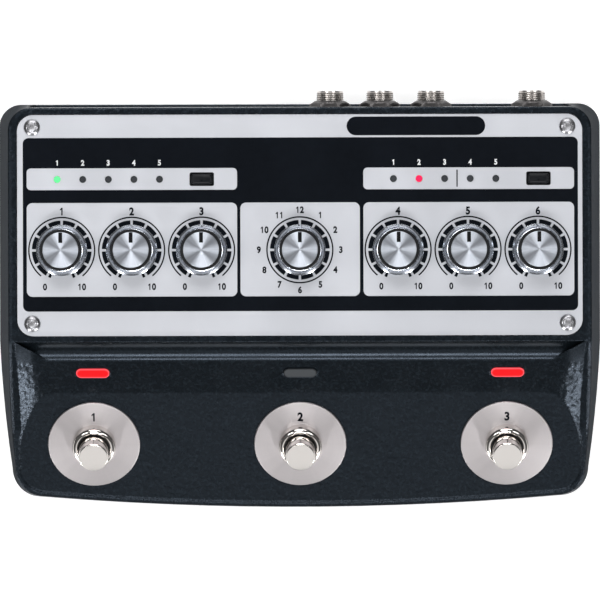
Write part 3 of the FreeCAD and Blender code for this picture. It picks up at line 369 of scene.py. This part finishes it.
def circuit_board():
    """Green board with a faint pattern of tracks."""
    g = Graph("circuit_board")
    g.set(Roughness=0.4)
    tracks = g.cells(2.5, feature="F1", distance="MANHATTAN")
    g.feed(Base_Color=g.ramp(tracks, (0.2, (0.01, 0.09, 0.035)), (0.6, (0.02, 0.15, 0.06))))
    g.bump(tracks, 0.02, 0.4)
    return g.material


JACK_METAL_Y = 58.5


def jack_material(bright, dark):
    """Black housing inside the case, nickel bushing outside it."""
    g = Graph("jack_body")
    outside = g.math("GREATER_THAN", g.split(g.place())[1], JACK_METAL_Y * MM)
    g.feed(
        Metallic=g.range(outside, 0.0, 1.0),
        Roughness=g.range(outside, 0.45, 0.3),
        Base_Color=g.ramp(outside, (0.4, dark), (0.6, bright)),
    )
    g.bump(g.noise(0.4, 2.0), 0.006)
    return g.material


NICKEL = srgb(222, 217, 213)
BLACK = srgb(24, 25, 28)

paint = textured_paint()
silver = panel_face()
nickel = metal("polished_nickel", NICKEL, 0.1, spread=0.05)
bright_nickel = metal("bright_nickel", srgb(233, 228, 224), 0.1, spread=0.05)
# The jack nuts' nickel is made dark, far below the other nickel, and rougher
darkened_nickel = metal("darkened_nickel", srgb(84, 82, 82), 0.35)
bushing = metal("bushing_nickel", srgb(172, 166, 162), 0.25)
chrome = metal("chrome", srgb(205, 210, 218), 0.21, spread=0.04)
steel = metal("plated_steel", srgb(190, 190, 192), 0.28)
screw_metal = metal("screw_metal", srgb(188, 188, 192), 0.28)
black_steel = metal("black_steel", srgb(60, 60, 64), 0.35)
tin = metal("tinned_steel", srgb(200, 200, 200), 0.25)
brass = metal("brass", srgb(214, 178, 100), 0.25)
# Both spun metals carry painted reflection fans in their colour, faint on the discs and strong on the caps
disc_metal = spun("spun_disc", srgb(190, 185, 186), 0.4, fans=0.3, ring=0.3, painted_fan_depth=0.06)
cap_metal = spun("spun_cap", srgb(195, 200, 209), 0.43, fans=0.88)
print_black = plastic("print_black", srgb(16, 20, 26), 0.6, grain=0.2, bump=0.002, specular=0.03)
print_white = plastic("print_white", srgb(235, 236, 238), 0.45, grain=0.2, bump=0.002, specular=0.3)
pointer_black = plastic("pointer_black", srgb(16, 16, 18), 0.5, grain=0.2, bump=0.002, specular=0.1)
knob_black = plastic("knob_black", srgb(20, 21, 24), 0.35, grain=0.25, bump=0.006, specular=0.25)
black_plastic = plastic("black_plastic", BLACK, 0.45)
button_grey = plastic("button_grey", srgb(9, 13, 18), 0.32, grain=0.25, bump=0.004, specular=0.22)
sleeve = plastic("capacitor_sleeve", srgb(28, 32, 60), 0.3)
pale_plastic = plastic("pale_plastic", srgb(215, 214, 205), 0.4)
rubber = plastic("rubber", srgb(30, 30, 31), 0.75, grain=0.6, bump=0.03, specular=0.25)
base_paint = plastic("base_paint", srgb(34, 35, 37), 0.5, bump=0.015)
board = circuit_board()
jack = jack_material(NICKEL, BLACK)
green_lamp = lamp("green_lamp", srgb(70, 190, 110), glow=srgb(110, 240, 150), strength=0.75)
red_lamp = lamp("red_lamp", srgb(225, 40, 80), glow=srgb(255, 20, 75), strength=0.75)
dark_lamp = lamp("dark_lamp", srgb(62, 64, 68))
# The lit lens's paler, brighter edge line is a painted highlight
lit_lens = lens("lit_lens", SWITCH_X, srgb(150, 4, 10), srgb(190, 60, 66),
                glow=srgb(255, 0, 12), painted_edge_glow=srgb(255, 84, 92), strength=0.82)
# The dark lens's darker edge line is painted shade
dark_lens = lens("dark_lens", 0.0, srgb(66, 69, 72), srgb(44, 47, 50))

NODE_MATERIALS = {
    "top_case": paint, "bottom_plate": base_paint, "base_screws": black_steel, "rubber_feet": rubber,
    "face_panel": silver, "panel_screws": screw_metal, "potentiometers": steel, "mode_switch": steel,
    "panel_tacts": black_plastic, "panel_button_1": button_grey, "panel_button_2": button_grey,
    "green_lamp": green_lamp, "red_lamp": red_lamp, "dark_lamps": dark_lamp,
    "lit_lenses": lit_lens, "dark_lens": dark_lens, "lamp_chips": pale_plastic,
    "round_plates": disc_metal, "dress_nuts": nickel, "switch_housings": black_plastic,
    "switch_boards": board, "foot_tacts": black_plastic,
    "phone_jacks": jack, "jack_nuts": bushing, "link_jacks": black_plastic,
    "power_inlet": black_plastic, "data_socket": tin,
    "panel_board": board, "main_board": board, "board_headers": black_plastic, "board_stands": brass,
    "delay_chips": black_plastic, "processor_chip": black_plastic, "capacitors": sleeve,
}
for n in range(1, 8):
    NODE_MATERIALS |= {f"shaft_{n}": steel, f"knob_{n}": knob_black, f"knob_cap_{n}": cap_metal}
for n in range(1, 4):
    NODE_MATERIALS[f"plunger_{n}"] = nickel
for name, thing in nodes.items():
    thing.data.materials.clear()
    thing.data.materials.append(NODE_MATERIALS[name])

# Shapes

SMOOTH_ANGLE = 32.0
ARC_STEP = math.radians(14)
NEARLY_NOTHING = 0.0001


def add_object(name, data):
    thing = bpy.data.objects.new(name, data)
    bpy.context.scene.collection.objects.link(thing)
    return thing


def solid(name, mesh, material, body="pedal", place=None, smooth_angle=SMOOTH_ANGLE):
    """A new piece from a mesh, shaded smooth but for edges sharper than smooth_angle degrees."""
    mesh.name = name
    mesh.materials.clear()
    mesh.materials.append(material)
    for face in mesh.polygons:
        face.use_smooth = True
    mesh.set_sharp_from_angle(angle=math.radians(smooth_angle))
    thing = add_object(name, mesh)
    thing.matrix_world = place or Matrix.Identity(4)
    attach(thing, body)
    return thing


def at(x, y, z, tilt=0.0):
    """A place in the frame, in mm, leaning forwards by tilt."""
    return Matrix.Translation(Vector((x, y, z)) * MM) @ Matrix.Rotation(tilt, 4, "X")


def closed_mesh(name, bm):
    """Turns a shape's faces outwards and gives its mesh."""
    bmesh.ops.recalc_face_normals(bm, faces=bm.faces)
    mesh = bpy.data.meshes.new(name)
    bm.to_mesh(mesh)
    bm.free()
    return mesh


def rounded(stops):
    """(across, up, radius) stops as points, with each corner rounded by its radius."""
    points = []
    for i, (*place, radius) in enumerate(stops):
        here = Vector(place)
        if radius == 0 or i in (0, len(stops) - 1):
            points.append(here)
            continue
        back = (Vector(stops[i - 1][:2]) - here).normalized()
        on = (Vector(stops[i + 1][:2]) - here).normalized()
        half = back.angle(on) / 2
        reach = radius / math.tan(half)
        middle = here + (back + on).normalized() * (radius / math.sin(half))
        start = here + back * reach - middle
        end = here + on * reach - middle
        turn = start.angle_signed(end)
        steps = max(2, int(abs(turn) / ARC_STEP) + 1)
        for k in range(steps + 1):
            a = -turn * k / steps
            points.append(middle + Vector((
                start.x * math.cos(a) - start.y * math.sin(a),
                start.x * math.sin(a) + start.y * math.cos(a),
            )))
    return points


def lathe(stops, segments=128):
    """A mesh turned about Z from (radius, height, corner radius) stops in mm."""
    bm = bmesh.new()
    turns = [math.tau * k / segments for k in range(segments)]
    rings = []
    for p in rounded(stops):
        if p.x < NEARLY_NOTHING:
            rings.append([bm.verts.new((0, 0, p.y * MM))])
            continue
        rings.append([
            bm.verts.new((p.x * MM * math.cos(a), p.x * MM * math.sin(a), p.y * MM)) for a in turns
        ])
    for low, high in zip(rings, rings[1:]):
        for k in range(segments):
            n = (k + 1) % segments
            corners = [low[k % len(low)], low[n % len(low)], high[n % len(high)], high[k % len(high)]]
            corners = list(dict.fromkeys(corners))
            if len(corners) > 2:
                bm.faces.new(corners)
    return closed_mesh("lathe", bm)


def loft(stations):
    """A closed mesh through (height, loop) stations, lowest first, in mm."""
    bm = bmesh.new()
    rings = [[bm.verts.new((x * MM, y * MM, z * MM)) for x, y in loop] for z, loop in stations]
    for low, high in zip(rings, rings[1:]):
        for k in range(len(low)):
            n = (k + 1) % len(low)
            bm.faces.new((low[k], low[n], high[n], high[k]))
    bm.faces.new(reversed(rings[0]))
    bm.faces.new(rings[-1])
    bmesh.ops.remove_doubles(bm, verts=bm.verts, dist=NEARLY_NOTHING * MM)
    return closed_mesh("loft", bm)


def filled_curve(name, loops):
    """A flat curve filled between its loops."""
    curve = bpy.data.curves.new(name, "CURVE")
    curve.dimensions = "2D"
    curve.fill_mode = "BOTH"
    for loop in loops:
        spline = curve.splines.new("POLY")
        spline.points.add(len(loop) - 1)
        for point, (x, y) in zip(spline.points, loop):
            point.co = (x, y, 0, 1)
        spline.use_cyclic_u = True
    return curve


def mesh_of(curve):
    """A curve's mesh, which takes the curve's place."""
    holder = bpy.data.objects.new(curve.name, curve)
    mesh = bpy.data.meshes.new_from_object(holder)
    bpy.data.objects.remove(holder)
    bpy.data.curves.remove(curve)
    return mesh


def layer(name, meshes, low, high, material, body="pedal", place=None):
    """Joins filled curves' meshes, closes them and puts them between two heights."""
    bm = bmesh.new()
    for mesh in meshes:
        bm.from_mesh(mesh)
        bpy.data.meshes.remove(mesh)
    bmesh.ops.remove_doubles(bm, verts=bm.verts, dist=NEARLY_NOTHING * MM)
    bmesh.ops.translate(bm, verts=bm.verts, vec=(0, 0, (low + high) / 2 * MM))
    return solid(name, closed_mesh(name, bm), material, body, place)


def plate(name, loops, low, high, material, body="pedal", place=None):
    """A flat layer between two heights in mm. The loops are its outline and its holes."""
    curve = filled_curve(name, [[(x * MM, y * MM) for x, y in loop] for loop in loops])
    curve.extrude = (high - low) / 2 * MM
    return layer(name, [mesh_of(curve)], low, high, material, body, place)


def box_loop(left, right, bottom, top, radius, steps=8):
    """A rounded rectangle, counter-clockwise."""
    loop = []
    corners = ((right, top, 0), (left, top, 90), (left, bottom, 180), (right, bottom, 270))
    for x, y, start in corners:
        cx = x - math.copysign(radius, x - (left + right) / 2)
        cy = y - math.copysign(radius, y - (bottom + top) / 2)
        for k in range(steps + 1):
            a = math.radians(start + 90 * k / steps)
            loop.append((cx + radius * math.cos(a), cy + radius * math.sin(a)))
    return loop


def arc_loop(x, y, inner, outer, start, end, step=3.0):
    """A sector of a ring. Its angles are degrees clockwise from straight up."""
    count = max(2, int(abs(end - start) / step) + 1)
    turns = [math.radians(start + (end - start) * k / count) for k in range(count + 1)]
    out = [(x + outer * math.sin(a), y + outer * math.cos(a)) for a in turns]
    back = [(x + inner * math.sin(a), y + inner * math.cos(a)) for a in reversed(turns)]
    return out + back


def circle_loop(x, y, radius, steps=120):
    turns = [math.tau * k / steps for k in range(steps)]
    return [(x + radius * math.cos(a), y + radius * math.sin(a)) for a in turns]


DIGIT_WIDTH, DIGIT_SQUEEZE = 0.68, 0.88
FONT_SIZE, FONT_BOLD = 1.37, 0.06
ONE = [(-0.06, -0.5), (0.14, -0.5), (0.14, 0.5), (-0.02, 0.5), (-0.26, 0.3), (-0.26, 0.12), (-0.06, 0.26)]


def glyph(digit):
    """One digit, 1 high, as a flat curve. The 1 has no foot, so it is drawn here."""
    if digit == "1":
        return filled_curve(digit, [ONE])
    curve = bpy.data.curves.new(digit, "FONT")
    curve.body = digit
    curve.align_x = "CENTER"
    curve.size = FONT_SIZE
    curve.offset = FONT_BOLD
    return curve


def number(name, text, x, y, height, low, high, material, slot, body="pedal", place=None):
    """A printed number, centred at x, y."""
    meshes = []
    for k, digit in enumerate(text):
        curve = glyph(digit)
        curve.extrude = (high - low) / 2 / height
        mesh = mesh_of(curve)
        middle = 0.0
        if digit != "1":
            heights = [v.co.y for v in mesh.vertices]
            middle = (min(heights) + max(heights)) / 2
        across = (k - (len(text) - 1) / 2) * DIGIT_WIDTH
        mesh.transform(
            Matrix.Translation((x * MM, y * MM, 0)) @ Matrix.Scale(height * MM, 4)
            @ Matrix.Translation((across, -middle, 0)) @ Matrix.Diagonal((DIGIT_SQUEEZE, 1, 1, 1))
        )
        meshes.append(mesh)
    return layer(name, meshes, low, high, material, body, place)


# Printing on the face panel

INK = 0.03

# Left, right, bottom and top of each black box
FIELD, FIELD_CORNER = (-87.1, 87.5, -3.45, 51.15), 1.8
BADGE, BADGE_CORNER = (14.8, 58.4, 51.75, 57.65), 2.94
DIVIDER, DIVIDER_CORNER = (49.3, 49.7, 35.5, 40.9), 0.05

# The silver openings in the field: lamp strips above, knob boxes below
LEFT, MIDDLE, RIGHT = (-85.9, -19.7), (-18.7, 18.9), (20.0, 86.3)
STRIP_Y, STRIP_CORNER = (34.75, 41.6), 1.3
BOX_Y, BOX_CORNER = (1.2, 30.7), 1.8


def ink(name, loops):
    """Black print on the panel."""
    plate(name, loops, PANEL_TOP, PANEL_TOP + INK, print_black)


def ink_number(name, text, x, y, height, colour=print_black, level=PANEL_TOP):
    """A number printed on the panel or on the print below it."""
    number(name, text, x, y, height, level, level + INK, colour, "panel")


ink("print_field", [
    box_loop(*FIELD, FIELD_CORNER),
    box_loop(*LEFT, *STRIP_Y, STRIP_CORNER),
    box_loop(*RIGHT, *STRIP_Y, STRIP_CORNER),
    box_loop(*LEFT, *BOX_Y, BOX_CORNER),
    box_loop(*MIDDLE, *BOX_Y, BOX_CORNER),
    box_loop(*RIGHT, *BOX_Y, BOX_CORNER),
])
ink("print_badge", [box_loop(*BADGE, BADGE_CORNER)])
ink("print_divider", [box_loop(*DIVIDER, DIVIDER_CORNER, steps=1)])

RING_IN, RING_OUT = 8.0, 9.4
RING_END = 158
CIRCLE_IN, CIRCLE_OUT = 10.125, 10.575
CIRCLE_END = 141
TICK_WIDTH, TICK_STEP, LAST_TICK = 0.75, 30, 150


def dial(n, x):
    """The printed dial round a knob: a ring cut by pale ticks, and a thin circle outside it."""
    half_tick = math.degrees(TICK_WIDTH / 2 / ((RING_IN + RING_OUT) / 2))
    full = n == MODE_KNOB
    limit = 180 if full else LAST_TICK
    edges = []
    for tick in range(-limit, limit + 1, TICK_STEP):
        edges += [tick - half_tick, tick + half_tick]
    edges = edges[1:-1] if full else [-RING_END, *edges, RING_END]
    blocks = [
        arc_loop(x, KNOB_Y, RING_IN, RING_OUT, start, end)
        for start, end in zip(edges[::2], edges[1::2])
    ]
    if full:
        blocks += [circle_loop(x, KNOB_Y, CIRCLE_OUT), circle_loop(x, KNOB_Y, CIRCLE_IN)]
    else:
        blocks.append(arc_loop(x, KNOB_Y, CIRCLE_IN, CIRCLE_OUT, -CIRCLE_END, CIRCLE_END))
    ink(f"print_dial_{n}", blocks)


for n, x in enumerate(KNOB_X, 1):
    dial(n, x)

TITLE_Y, TITLE_HIGH = 28.0, 2.4
END_LABELS, END_Y = (("0", -5.3), ("10", 6.3)), 4.3
LABEL_HIGH = 2.0
HOUR_X, HOUR_Y = 12.9, 12.6

title = 0
for n, x in enumerate(KNOB_X, 1):
    if n == MODE_KNOB:
        for hour in range(1, 13):
            a = math.radians(hour * 30)
            ink_number(f"print_mode_{hour}", str(hour), x + HOUR_X * math.sin(a),
                       KNOB_Y + HOUR_Y * math.cos(a), LABEL_HIGH)
        continue
    title += 1
    ink_number(f"print_title_{title}", str(title), x, TITLE_Y, TITLE_HIGH)
    for label, dx in END_LABELS:
        ink_number(f"print_end_{title}_{label}", label, x + dx, END_Y, LABEL_HIGH)

LAMP_ROWS = (-76.3, 29.5)
LAMP_PITCH = 8.05
LAMP_NUMBER_Y, LAMP_NUMBER_HIGH = 43.3, 1.7

for row, first in enumerate(LAMP_ROWS, 1):
    for k in range(5):
        ink_number(f"print_lamp_{row}_{k + 1}", str(k + 1), first + LAMP_PITCH * k, LAMP_NUMBER_Y,
                   LAMP_NUMBER_HIGH, print_white, PANEL_TOP + INK)

# Knobs, whose outlines are (radius, height above the panel, corner radius) stops

GRIP = [
    (5.6, 0.65, 0), (6.7, 0.65, 0), (6.7, 3.1, 0), (6.45, 3.4, 0), (6.4, 11.0, 0),
    (6.55, 11.3, 0.15), (6.55, 12.75, 0.3), (5.68, 12.75, 0.1), (5.62, 12.3, 0), (5.6, 12.2, 0),
    (3.05, 12.2, 0), (3.05, 3.0, 0), (5.6, 3.0, 0), (5.6, 0.65, 0),
]
SKIRT = [
    (6.6, 0.6, 0), (8.05, 0.6, 0.1), (8.1, 1.0, 0.25), (7.6, 1.35, 0.5), (7.05, 2.1, 1.0),
    (6.72, 3.5, 0.1), (6.5, 3.55, 0), (6.6, 0.6, 0),
]
CAP = [(0, 12.25, 0), (5.55, 12.25, 0), (5.6, 12.85, 0.05), (5.35, 12.96, 0.15), (0, 12.97, 0)]
POINTER = box_loop(-0.6, 0.6, 2.25, 5.5, 0.08, steps=2)
POINTER_LOW, POINTER_HIGH = 12.9, 12.99

for n, x in enumerate(KNOB_X, 1):
    body = f"knob_set_{n}"
    spot = at(x, KNOB_Y, PANEL_TOP)
    grip = solid(f"knob_grip_{n}", lathe(GRIP), knob_black, body, spot)
    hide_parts(f"knob_{n}")
    solid(f"knob_skirt_{n}", lathe(SKIRT), chrome, body, spot)
    cap = solid(f"knob_disc_{n}", lathe(CAP), cap_metal, body, spot)
    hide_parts(f"knob_cap_{n}")
    plate(f"knob_pointer_{n}", [POINTER], POINTER_LOW, POINTER_HIGH,
          pointer_black, body, spot)

# Foot-switches, whose outlines are (radius, height above the deck, corner radius) stops

DISC_TOP = 0.8
DISC = [
    (6.1, 0, 0), (14.55, 0, 0), (14.65, 0.5, 0.1),
    (14.45, DISC_TOP, 0.25), (6.1, DISC_TOP, 0), (6.1, 0, 0),
]
DRESS_NUT = [
    (6.1, DISC_TOP, 0), (6.9, DISC_TOP, 0.1), (6.85, 4.5, 1.2), (5.3, 4.5, 0.3),
    (5.12, 4.1, 0.15), (5.1, 3.05, 0), (6.1, 3.0, 0), (6.1, DISC_TOP, 0),
]
PLUNGER = [
    (0, -7.4, 0), (2.0, -7.4, 0), (2.0, -6.0, 0), (6.2, -6.0, 0.2), (6.2, -4.4, 0.2),
    (4.7, -4.4, 0), (4.7, 10.2, 0.2), (4.45, 10.5, 0.15), (0, 10.5, 0),
]
DISC_NUMBER_Y, DISC_NUMBER_HIGH = 9.6, 2.9

for n, spot in enumerate(DECK_SPOTS, 1):
    deck = at(*spot, DECK_TILT)
    disc = solid(f"disc_{n}", lathe(DISC, 160), disc_metal, "pedal", deck)
    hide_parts("round_plates")
    number(f"disc_number_{n}", str(n), 0, DISC_NUMBER_Y, DISC_NUMBER_HIGH, DISC_TOP, DISC_TOP + INK,
           print_black, "satin_nickel", "pedal", deck)
    nut = solid(f"dress_nut_{n}", lathe(DRESS_NUT), nickel, "pedal", deck)
    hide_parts("dress_nuts")
    plunger = solid(f"plunger_piece_{n}", lathe(PLUNGER), bright_nickel,
                    f"foot_switch_{n}", deck)
    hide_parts(f"plunger_{n}")

# Panel buttons

BUTTON_LONG, BUTTON_SHORT, BUTTON_TOP = 6.5, 3.1, 1.6
BUTTON_CORNER, FLANGE_CORNER = 0.7, 0.3
FLANGE_OUT, FLANGE_LOW, FLANGE_HIGH = 1.2, -2.6, -1.6
STEM_RADIUS, STEM_FOOT = 1.7, -5.2
BUTTON_SMOOTH_ANGLE = 40.0

# The button's rounded top edge: height from the top, how far it is drawn in, corner radius
BUTTON_EDGE = [(-0.5, 0.0, BUTTON_CORNER), (-0.25, 0.06, BUTTON_CORNER), (-0.08, 0.2, 0.65), (0.0, 0.45, 0.6)]


def button_loop(inset, corner):
    """The button's outline, drawn in by inset."""
    half, deep = BUTTON_LONG / 2 - inset, BUTTON_SHORT / 2 - inset
    return box_loop(-half, half, -deep, deep, corner)


stem = box_loop(-STEM_RADIUS, STEM_RADIUS, -STEM_RADIUS, STEM_RADIUS, STEM_RADIUS)
flange = button_loop(-FLANGE_OUT, FLANGE_CORNER)
BUTTON = [
    (STEM_FOOT, stem), (FLANGE_LOW, stem), (FLANGE_LOW, flange), (FLANGE_HIGH, flange),
    (FLANGE_HIGH, button_loop(0.0, BUTTON_CORNER)),
    *((BUTTON_TOP + up, button_loop(inset, corner)) for up, inset, corner in BUTTON_EDGE),
]

for n, (x, y) in enumerate(BUTTON_SPOTS, 1):
    button = solid(f"button_cap_{n}", loft(BUTTON), button_grey, f"button_{n}",
                   at(x, y, PANEL_TOP), BUTTON_SMOOTH_ANGLE)
    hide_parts(f"panel_button_{n}")

# Panel screws

SCREW = [
    (0, -7.0, 0), (1.5, -7.0, 0.3), (1.5, 0.0, 0), (2.5, 0.0, 0.05), (2.55, 0.5, 0.2),
    (1.9, 1.0, 0.5), (1.5, 1.15, 0.1), (1.3, 0.35, 0.1), (0, 0.25, 0),
]

for n, (x, y) in enumerate(SCREW_SPOTS, 1):
    screw = solid(f"panel_screw_{n}", lathe(SCREW, 96), screw_metal, "pedal",
                  at(x, y, PANEL_TOP))
    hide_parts("panel_screws")

# Jack nuts and threads, which stand on the rear wall and point to the rear

NUT_CORNER, NUT_HIGH = 6.6, 2.3
THREAD_BORE, THREAD_ROOT, THREAD_CREST = 3.25, 4.1, 4.35
THREAD_FOOT, THREAD_START, THREAD_PITCH, THREAD_TURNS = 2.35, 2.4, 0.62, 4


def nut_loop(cone, steps=72):
    """A hexagon's outline, cut back to the radius of the nut's outer cone."""
    loop = []
    for k in range(steps):
        a = math.tau * k / steps
        flat = NUT_CORNER * math.cos(math.pi / 6) / math.cos((a % (math.pi / 3)) - math.pi / 6)
        loop.append((min(flat, cone) * math.cos(a), min(flat, cone) * math.sin(a)))
    return loop


def nut_stations():
    """The nut's outlines, from the wall outwards: a straight part, then the cone."""
    cones = [(0.0, NUT_CORNER), (1.15, NUT_CORNER), (1.4, 6.1), (1.7, 5.65), (2.15, 5.0), (NUT_HIGH, 4.75)]
    return [(JACK_WALL_Y + out, nut_loop(cone)) for out, cone in cones]


def thread_stops():
    """The bushing beyond its nut: even ridges for the thread, and a rounded tip."""
    foot = JACK_WALL_Y + THREAD_FOOT
    stops = [(THREAD_BORE, foot, 0), (THREAD_ROOT, foot, 0)]
    for turn in range(THREAD_TURNS):
        y = JACK_WALL_Y + THREAD_START + THREAD_PITCH * turn
        stops += [
            (THREAD_ROOT, y, 0.04), (THREAD_CREST, y + THREAD_PITCH * 0.4, 0.05),
            (THREAD_CREST, y + THREAD_PITCH * 0.5, 0.05), (THREAD_ROOT, y + THREAD_PITCH * 0.9, 0.04),
        ]
    stops += [
        (4.15, JACK_TIP_Y - 0.2, 0.1), (3.95, JACK_TIP_Y, 0.1),
        (THREAD_BORE, JACK_TIP_Y, 0.15), (THREAD_BORE, foot, 0),
    ]
    return stops


for n, x in enumerate(JACK_X, 1):
    rearwards = at(x, 0, JACK_Z, math.radians(-90))
    nut = solid(f"jack_nut_{n}", loft(nut_stations()), darkened_nickel, "pedal", rearwards)
    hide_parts("jack_nuts")
    solid(f"jack_thread_{n}", lathe(thread_stops(), 72), bushing, "pedal", rearwards)

# Stage, light and camera

WHITE, PALE = (1.0, 1.0, 1.0), (0.9, 0.9, 0.9)
FLOOR_SIZE, FLOOR_LIFT = 30, 0.45
WORLD_STRENGTH = 0.1

# The floor is lifted towards white where the camera, gloss or glass sees it, and keeps its shadow
floor_graph = Graph("floor")
floor_graph.set(Base_Color=PALE, Roughness=0.9, Specular_IOR_Level=0.1, Emission_Color=WHITE)
ray = floor_graph.add("ShaderNodeLightPath").outputs
seen = floor_graph.math("MAXIMUM", ray["Is Camera Ray"], ray["Is Glossy Ray"])
seen = floor_graph.math("MAXIMUM", seen, ray["Is Transmission Ray"])
floor_graph.feed(Emission_Strength=floor_graph.math("MULTIPLY", seen, FLOOR_LIFT))

bpy.ops.mesh.primitive_plane_add(size=FLOOR_SIZE)
floor = bpy.context.object
floor.name = "floor"
floor.data.materials.append(floor_graph.material)

world = bpy.data.worlds.new("world")
world.use_nodes = True
background = world.node_tree.nodes["Background"]
background.inputs["Color"].default_value = (*WHITE, 1.0)
background.inputs["Strength"].default_value = WORLD_STRENGTH
bpy.context.scene.world = world

# Soft lights: name, place, width and height in metres, and power in watts
LIGHT_TARGET = Vector((0.0, 0.0, 0.03))
LIGHTS = [
    ("rear", (-0.08, 0.43, 0.95), 0.4, 0.22, 2.0),
    ("rear_low", (0.0, 1.2, 0.75), 1.2, 0.5, 10),
    ("high_front", (0.0, -0.75, 1.65), 0.5, 0.22, 8),
    ("front", (0.0, -1.3, 1.1), 1.0, 0.5, 1.2),
    ("left", (-0.8, 0.0, 1.5), 0.35, 0.5, 4.3),
    ("right", (0.8, 0.0, 1.5), 0.35, 0.5, 3.5),
    ("front_right", (0.75, -1.34, 0.5), 0.18, 0.3, 9),
    ("front_left", (-0.75, -1.34, 0.5), 0.18, 0.3, 6.5),
]
for name, place, width, height, power in LIGHTS:
    data = bpy.data.lights.new(name, "AREA")
    data.shape = "RECTANGLE"
    data.size = width
    data.size_y = height
    data.energy = power
    light = add_object(name, data)
    light.location = place
    light.rotation_euler = (LIGHT_TARGET - Vector(place)).to_track_quat("-Z", "Y").to_euler()
    light.visible_camera = False

# The camera looks straight down from CAMERA_HEIGHT metres, turned by CAMERA_ROLL
CAMERA_LENS, CAMERA_HEIGHT = 408.4, 2.18
CAMERA_ROLL = math.radians(-0.155)

camera_data = bpy.data.cameras.new("camera")
camera_data.sensor_width = 36.0
camera_data.lens = CAMERA_LENS
camera_data.clip_start = 0.1
camera_data.clip_end = 50.0
camera = add_object("camera", camera_data)
camera.location = (0.0, 0.0, CAMERA_HEIGHT)
camera.rotation_euler = (0.0, 0.0, CAMERA_ROLL)
bpy.context.scene.camera = camera
bpy.context.scene.view_settings.view_transform = "Standard"
